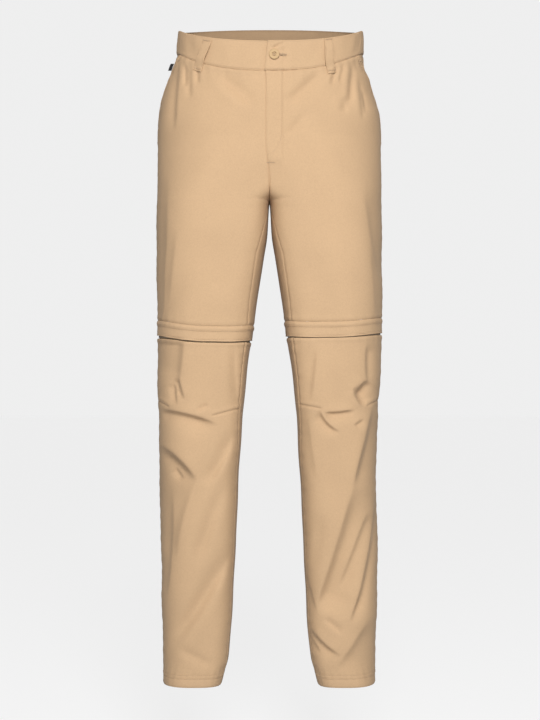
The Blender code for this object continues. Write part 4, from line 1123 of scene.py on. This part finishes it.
# Buttonhole: a slit across the end of the band, edged on both sides with close stitches of the same
# polyester thread.
HOLE_X = (0.0090, 0.0262)
HOLE_Z = -0.0552
HOLE_STITCH = (0.0019, 0.00055, 0.0006)
x = np.concatenate((np.linspace(HOLE_X[0], HOLE_X[1], 60), np.linspace(HOLE_X[1], HOLE_X[0], 60)))
z = HOLE_Z + np.concatenate((np.full(60, 0.0010), np.full(60, -0.0010)))
angle = angle_at_x("left", z, x)
points, raised = cloth("left", angle, z, BAND_RAISE + 0.00065), cloth("left", angle, z, BAND_RAISE + 0.00165)
centres, along, outwards = stitches_along(points, raised, 0.00055)
across = np.cross(outwards, along)
finish_detail(small_blocks("buttonhole_stitches", centres, across, outwards, HOLE_STITCH, thread))


# Waist button: a moulded four-hole button in the cloth's colour, with a broad rim and a deep round middle,
# sewn on with the same thread.
BUTTON_X = 0.0074
BUTTON_Z = -0.0552
BUTTON_RADIUS = 0.0082
BUTTON_HEIGHT = 0.0036
HOLE_PLACE, HOLE_RADIUS = 0.0019, 0.00085
button_material = mottled_material("tan moulded button", (0.42, 0.282, 0.140), (0.50, 0.340, 0.176), 260.0,
                                   {"Roughness": 0.60, "Specular IOR Level": 0.25}, 5.0)
seat_angle = float(angle_at_x("left", BUTTON_Z, BUTTON_X))
seat = Vector(cloth("left", seat_angle, BUTTON_Z, BAND_RAISE + 0.0008))
above = Vector(cloth("left", seat_angle, BUTTON_Z, BAND_RAISE + 0.0018))
upright = Matrix.Translation(seat) @ (above - seat).to_track_quat("Z", "Y").to_matrix().to_4x4()
bpy.ops.mesh.primitive_cylinder_add(vertices=64, radius=0.80 * BUTTON_RADIUS, depth=0.25 * BUTTON_HEIGHT,
                                    location=(0.0, 0.0, 0.125 * BUTTON_HEIGHT))
button = bpy.context.object
button.name = "button_disc"
bpy.ops.object.mode_set(mode="EDIT")
bpy.ops.mesh.select_all(action="DESELECT")
bpy.ops.object.mode_set(mode="OBJECT")
for face in button.data.polygons:
    face.select = face.normal.z > 0.9
bpy.ops.object.mode_set(mode="EDIT")
bpy.ops.mesh.select_mode(type="FACE")
# Each step is an outward move of the top edge: how far it spreads and how far it rises
for spread_by, rise in ((1.22, 0.16), (1.025, 0.28), (0.955, 0.24), (0.930, 0.07), (0.780, -0.06),
                        (0.620, -0.04), (0.900, -0.44), (0.960, -0.02)):
    bpy.ops.mesh.extrude_region_move(TRANSFORM_OT_translate={"value": (0.0, 0.0, rise * BUTTON_HEIGHT)})
    bpy.ops.transform.resize(value=(spread_by, spread_by, 1.0), center_override=(0.0, 0.0, 0.0))
bpy.ops.object.mode_set(mode="OBJECT")
for turn in range(4):
    angle = math.radians(45.0 + 90.0 * turn)
    bpy.ops.object.select_all(action="DESELECT")
    place = (HOLE_PLACE * math.cos(angle), HOLE_PLACE * math.sin(angle), 0.0)
    bpy.ops.mesh.primitive_cylinder_add(vertices=20, radius=HOLE_RADIUS, depth=0.02, location=place)
    drill = bpy.context.object
    cutter = button.modifiers.new("hole", "BOOLEAN")
    cutter.operation = "DIFFERENCE"
    cutter.object = drill
    bpy.context.view_layer.objects.active = button
    bpy.ops.object.modifier_apply(modifier="hole")
    bpy.data.objects.remove(drill, do_unlink=True)
button.data.transform(upright)
button.data.materials.clear()
button.data.materials.append(button_material)
button.data.shade_smooth()
button.data.set_sharp_from_angle(angle=math.radians(38))
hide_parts("waist_button")
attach(button, "root")
threads = []
for first in (45.0, 135.0, 225.0, 315.0):
    turns = (math.radians(first), math.radians(first + 90.0))
    start, end = (Vector((HOLE_PLACE * math.cos(turn), HOLE_PLACE * math.sin(turn), 0.0)) for turn in turns)
    for shift in (-0.00022, 0.0, 0.00022):
        middle = (start + end) / 2 + Vector((0.0, 0.0, 0.44 * BUTTON_HEIGHT + 0.0004))
        middle = middle + (end - start).cross(Vector((0.0, 0.0, 1.0))).normalized() * shift
        turned = upright.to_3x3()
        threads.append((upright @ middle, turned @ (end - start), turned @ Vector((0.0, 0.0, 1.0))))
centres, along, outwards = (np.array([tuple(row[k]) for row in threads]) for k in range(3))
finish_detail(small_blocks("button_thread", centres, along, outwards, (0.0034, 0.00042, 0.00050), thread))


# Side tab: a short bare piece of dark woven tape, folded in two, with both ends caught in the right side
# seam below the band.
TAB_TOP_Z = -0.0525
TAB_HEIGHT = 0.0110
TAB_REACH = 0.0055
tab_material = cloth_material("dark tape", (0.014, 0.014, 0.015), 0.0007)
turns = np.linspace(-math.pi / 2, math.pi / 2, 9)
levels = TAB_TOP_Z - np.linspace(0.0, TAB_HEIGHT, 12)
grids = []
for half, tip in ((0.0008, TAB_REACH), (0.0003, TAB_REACH - 0.0009)):
    fold = [(tip - half + half * math.cos(t), half * math.sin(t)) for t in turns]
    outline = [(0.0, -half)] + fold + [(0.0, half)]
    grid = np.zeros((len(levels), len(outline), 3))
    for i, level in enumerate(levels):
        base = cloth("right", math.pi, level, 0.0004)
        for j, (reach, side) in enumerate(outline):
            grid[i, j] = (base[0] - reach, base[1] + side, level)
    grids.append(grid)
across = np.broadcast_to(np.linspace(0.0, 0.012, len(outline)), grids[0].shape[:2])
cut = np.stack((across, grids[0][..., 2]), axis=-1)
tab = make_shell("side_tab_tape", grids[0], grids[1], cut, tab_material)
finish_sheet(tab, ["side_tab"])


# Studio: a pale seamless floor and background, a soft key light from the front and above, and a wide weak one
# from the front and low down. The camera stands where the photo was taken, square in front.
FLOOR_Z = -1.24
bpy.ops.object.select_all(action="DESELECT")
bpy.ops.mesh.primitive_plane_add(size=40.0, location=(0.0, 0.0, FLOOR_Z))
floor = bpy.context.object
floor.name = "floor"
WHITE = (1.0, 1.0, 1.0, 1.0)
floor_material, _, _ = new_material("pale floor", {"Base Color": (0.20, 0.20, 0.20, 1.0), "Roughness": 0.9,
                                                   "Emission Color": WHITE, "Emission Strength": 0.756})
floor.data.materials.append(floor_material)
floor.visible_diffuse = False

world = bpy.data.worlds.new("pale studio")
world.use_nodes = True
tree = world.node_tree
background = tree.nodes["Background"]
background.inputs["Color"].default_value = WHITE
direction = add_node(tree, "TexCoord", {}, {})
sides = add_node(tree, "SeparateXYZ", {"Vector": direction.outputs["Generated"]}, {})
glow = add_node(tree, "MapRange", {"Value": sides.outputs["Y"]},
                {"From Min": 0.90, "From Max": 0.965, "To Min": 0.31, "To Max": 0.86},
                interpolation_type="SMOOTHSTEP")
tree.links.new(glow.outputs["Result"], background.inputs["Strength"])
bpy.context.scene.world = world
bpy.context.scene.view_settings.view_transform = "Standard"

MIDDLE = Vector((0.0, 0.0, -0.534))
LIGHTS = (
    ("key", (0.20, -3.4, 1.3), 0.8, 118.0),
    ("low", (0.00, -3.6, -0.7), 1.4, 58.0),
)
for name, place, size, power in LIGHTS:
    light = bpy.data.lights.new(name, "AREA")
    light.shape = "SQUARE"
    light.size = size
    light.energy = power
    lamp = bpy.data.objects.new(name, light)
    lamp.location = place
    lamp.rotation_euler = (MIDDLE - Vector(place)).to_track_quat("-Z", "Y").to_euler()
    bpy.context.collection.objects.link(lamp)

CAMERA_DISTANCE = 3.0
FOCAL_LENGTH = 92.3
lens = bpy.data.cameras.new("camera")
lens.sensor_fit = "VERTICAL"
lens.sensor_height = 36.0
lens.lens = FOCAL_LENGTH
camera = bpy.data.objects.new("camera", lens)
camera.location = MIDDLE + Vector((0.0008, -CAMERA_DISTANCE, 0.0))
camera.rotation_euler = (math.pi / 2, 0.0, 0.0)
bpy.context.collection.objects.link(camera)
bpy.context.scene.camera = camera
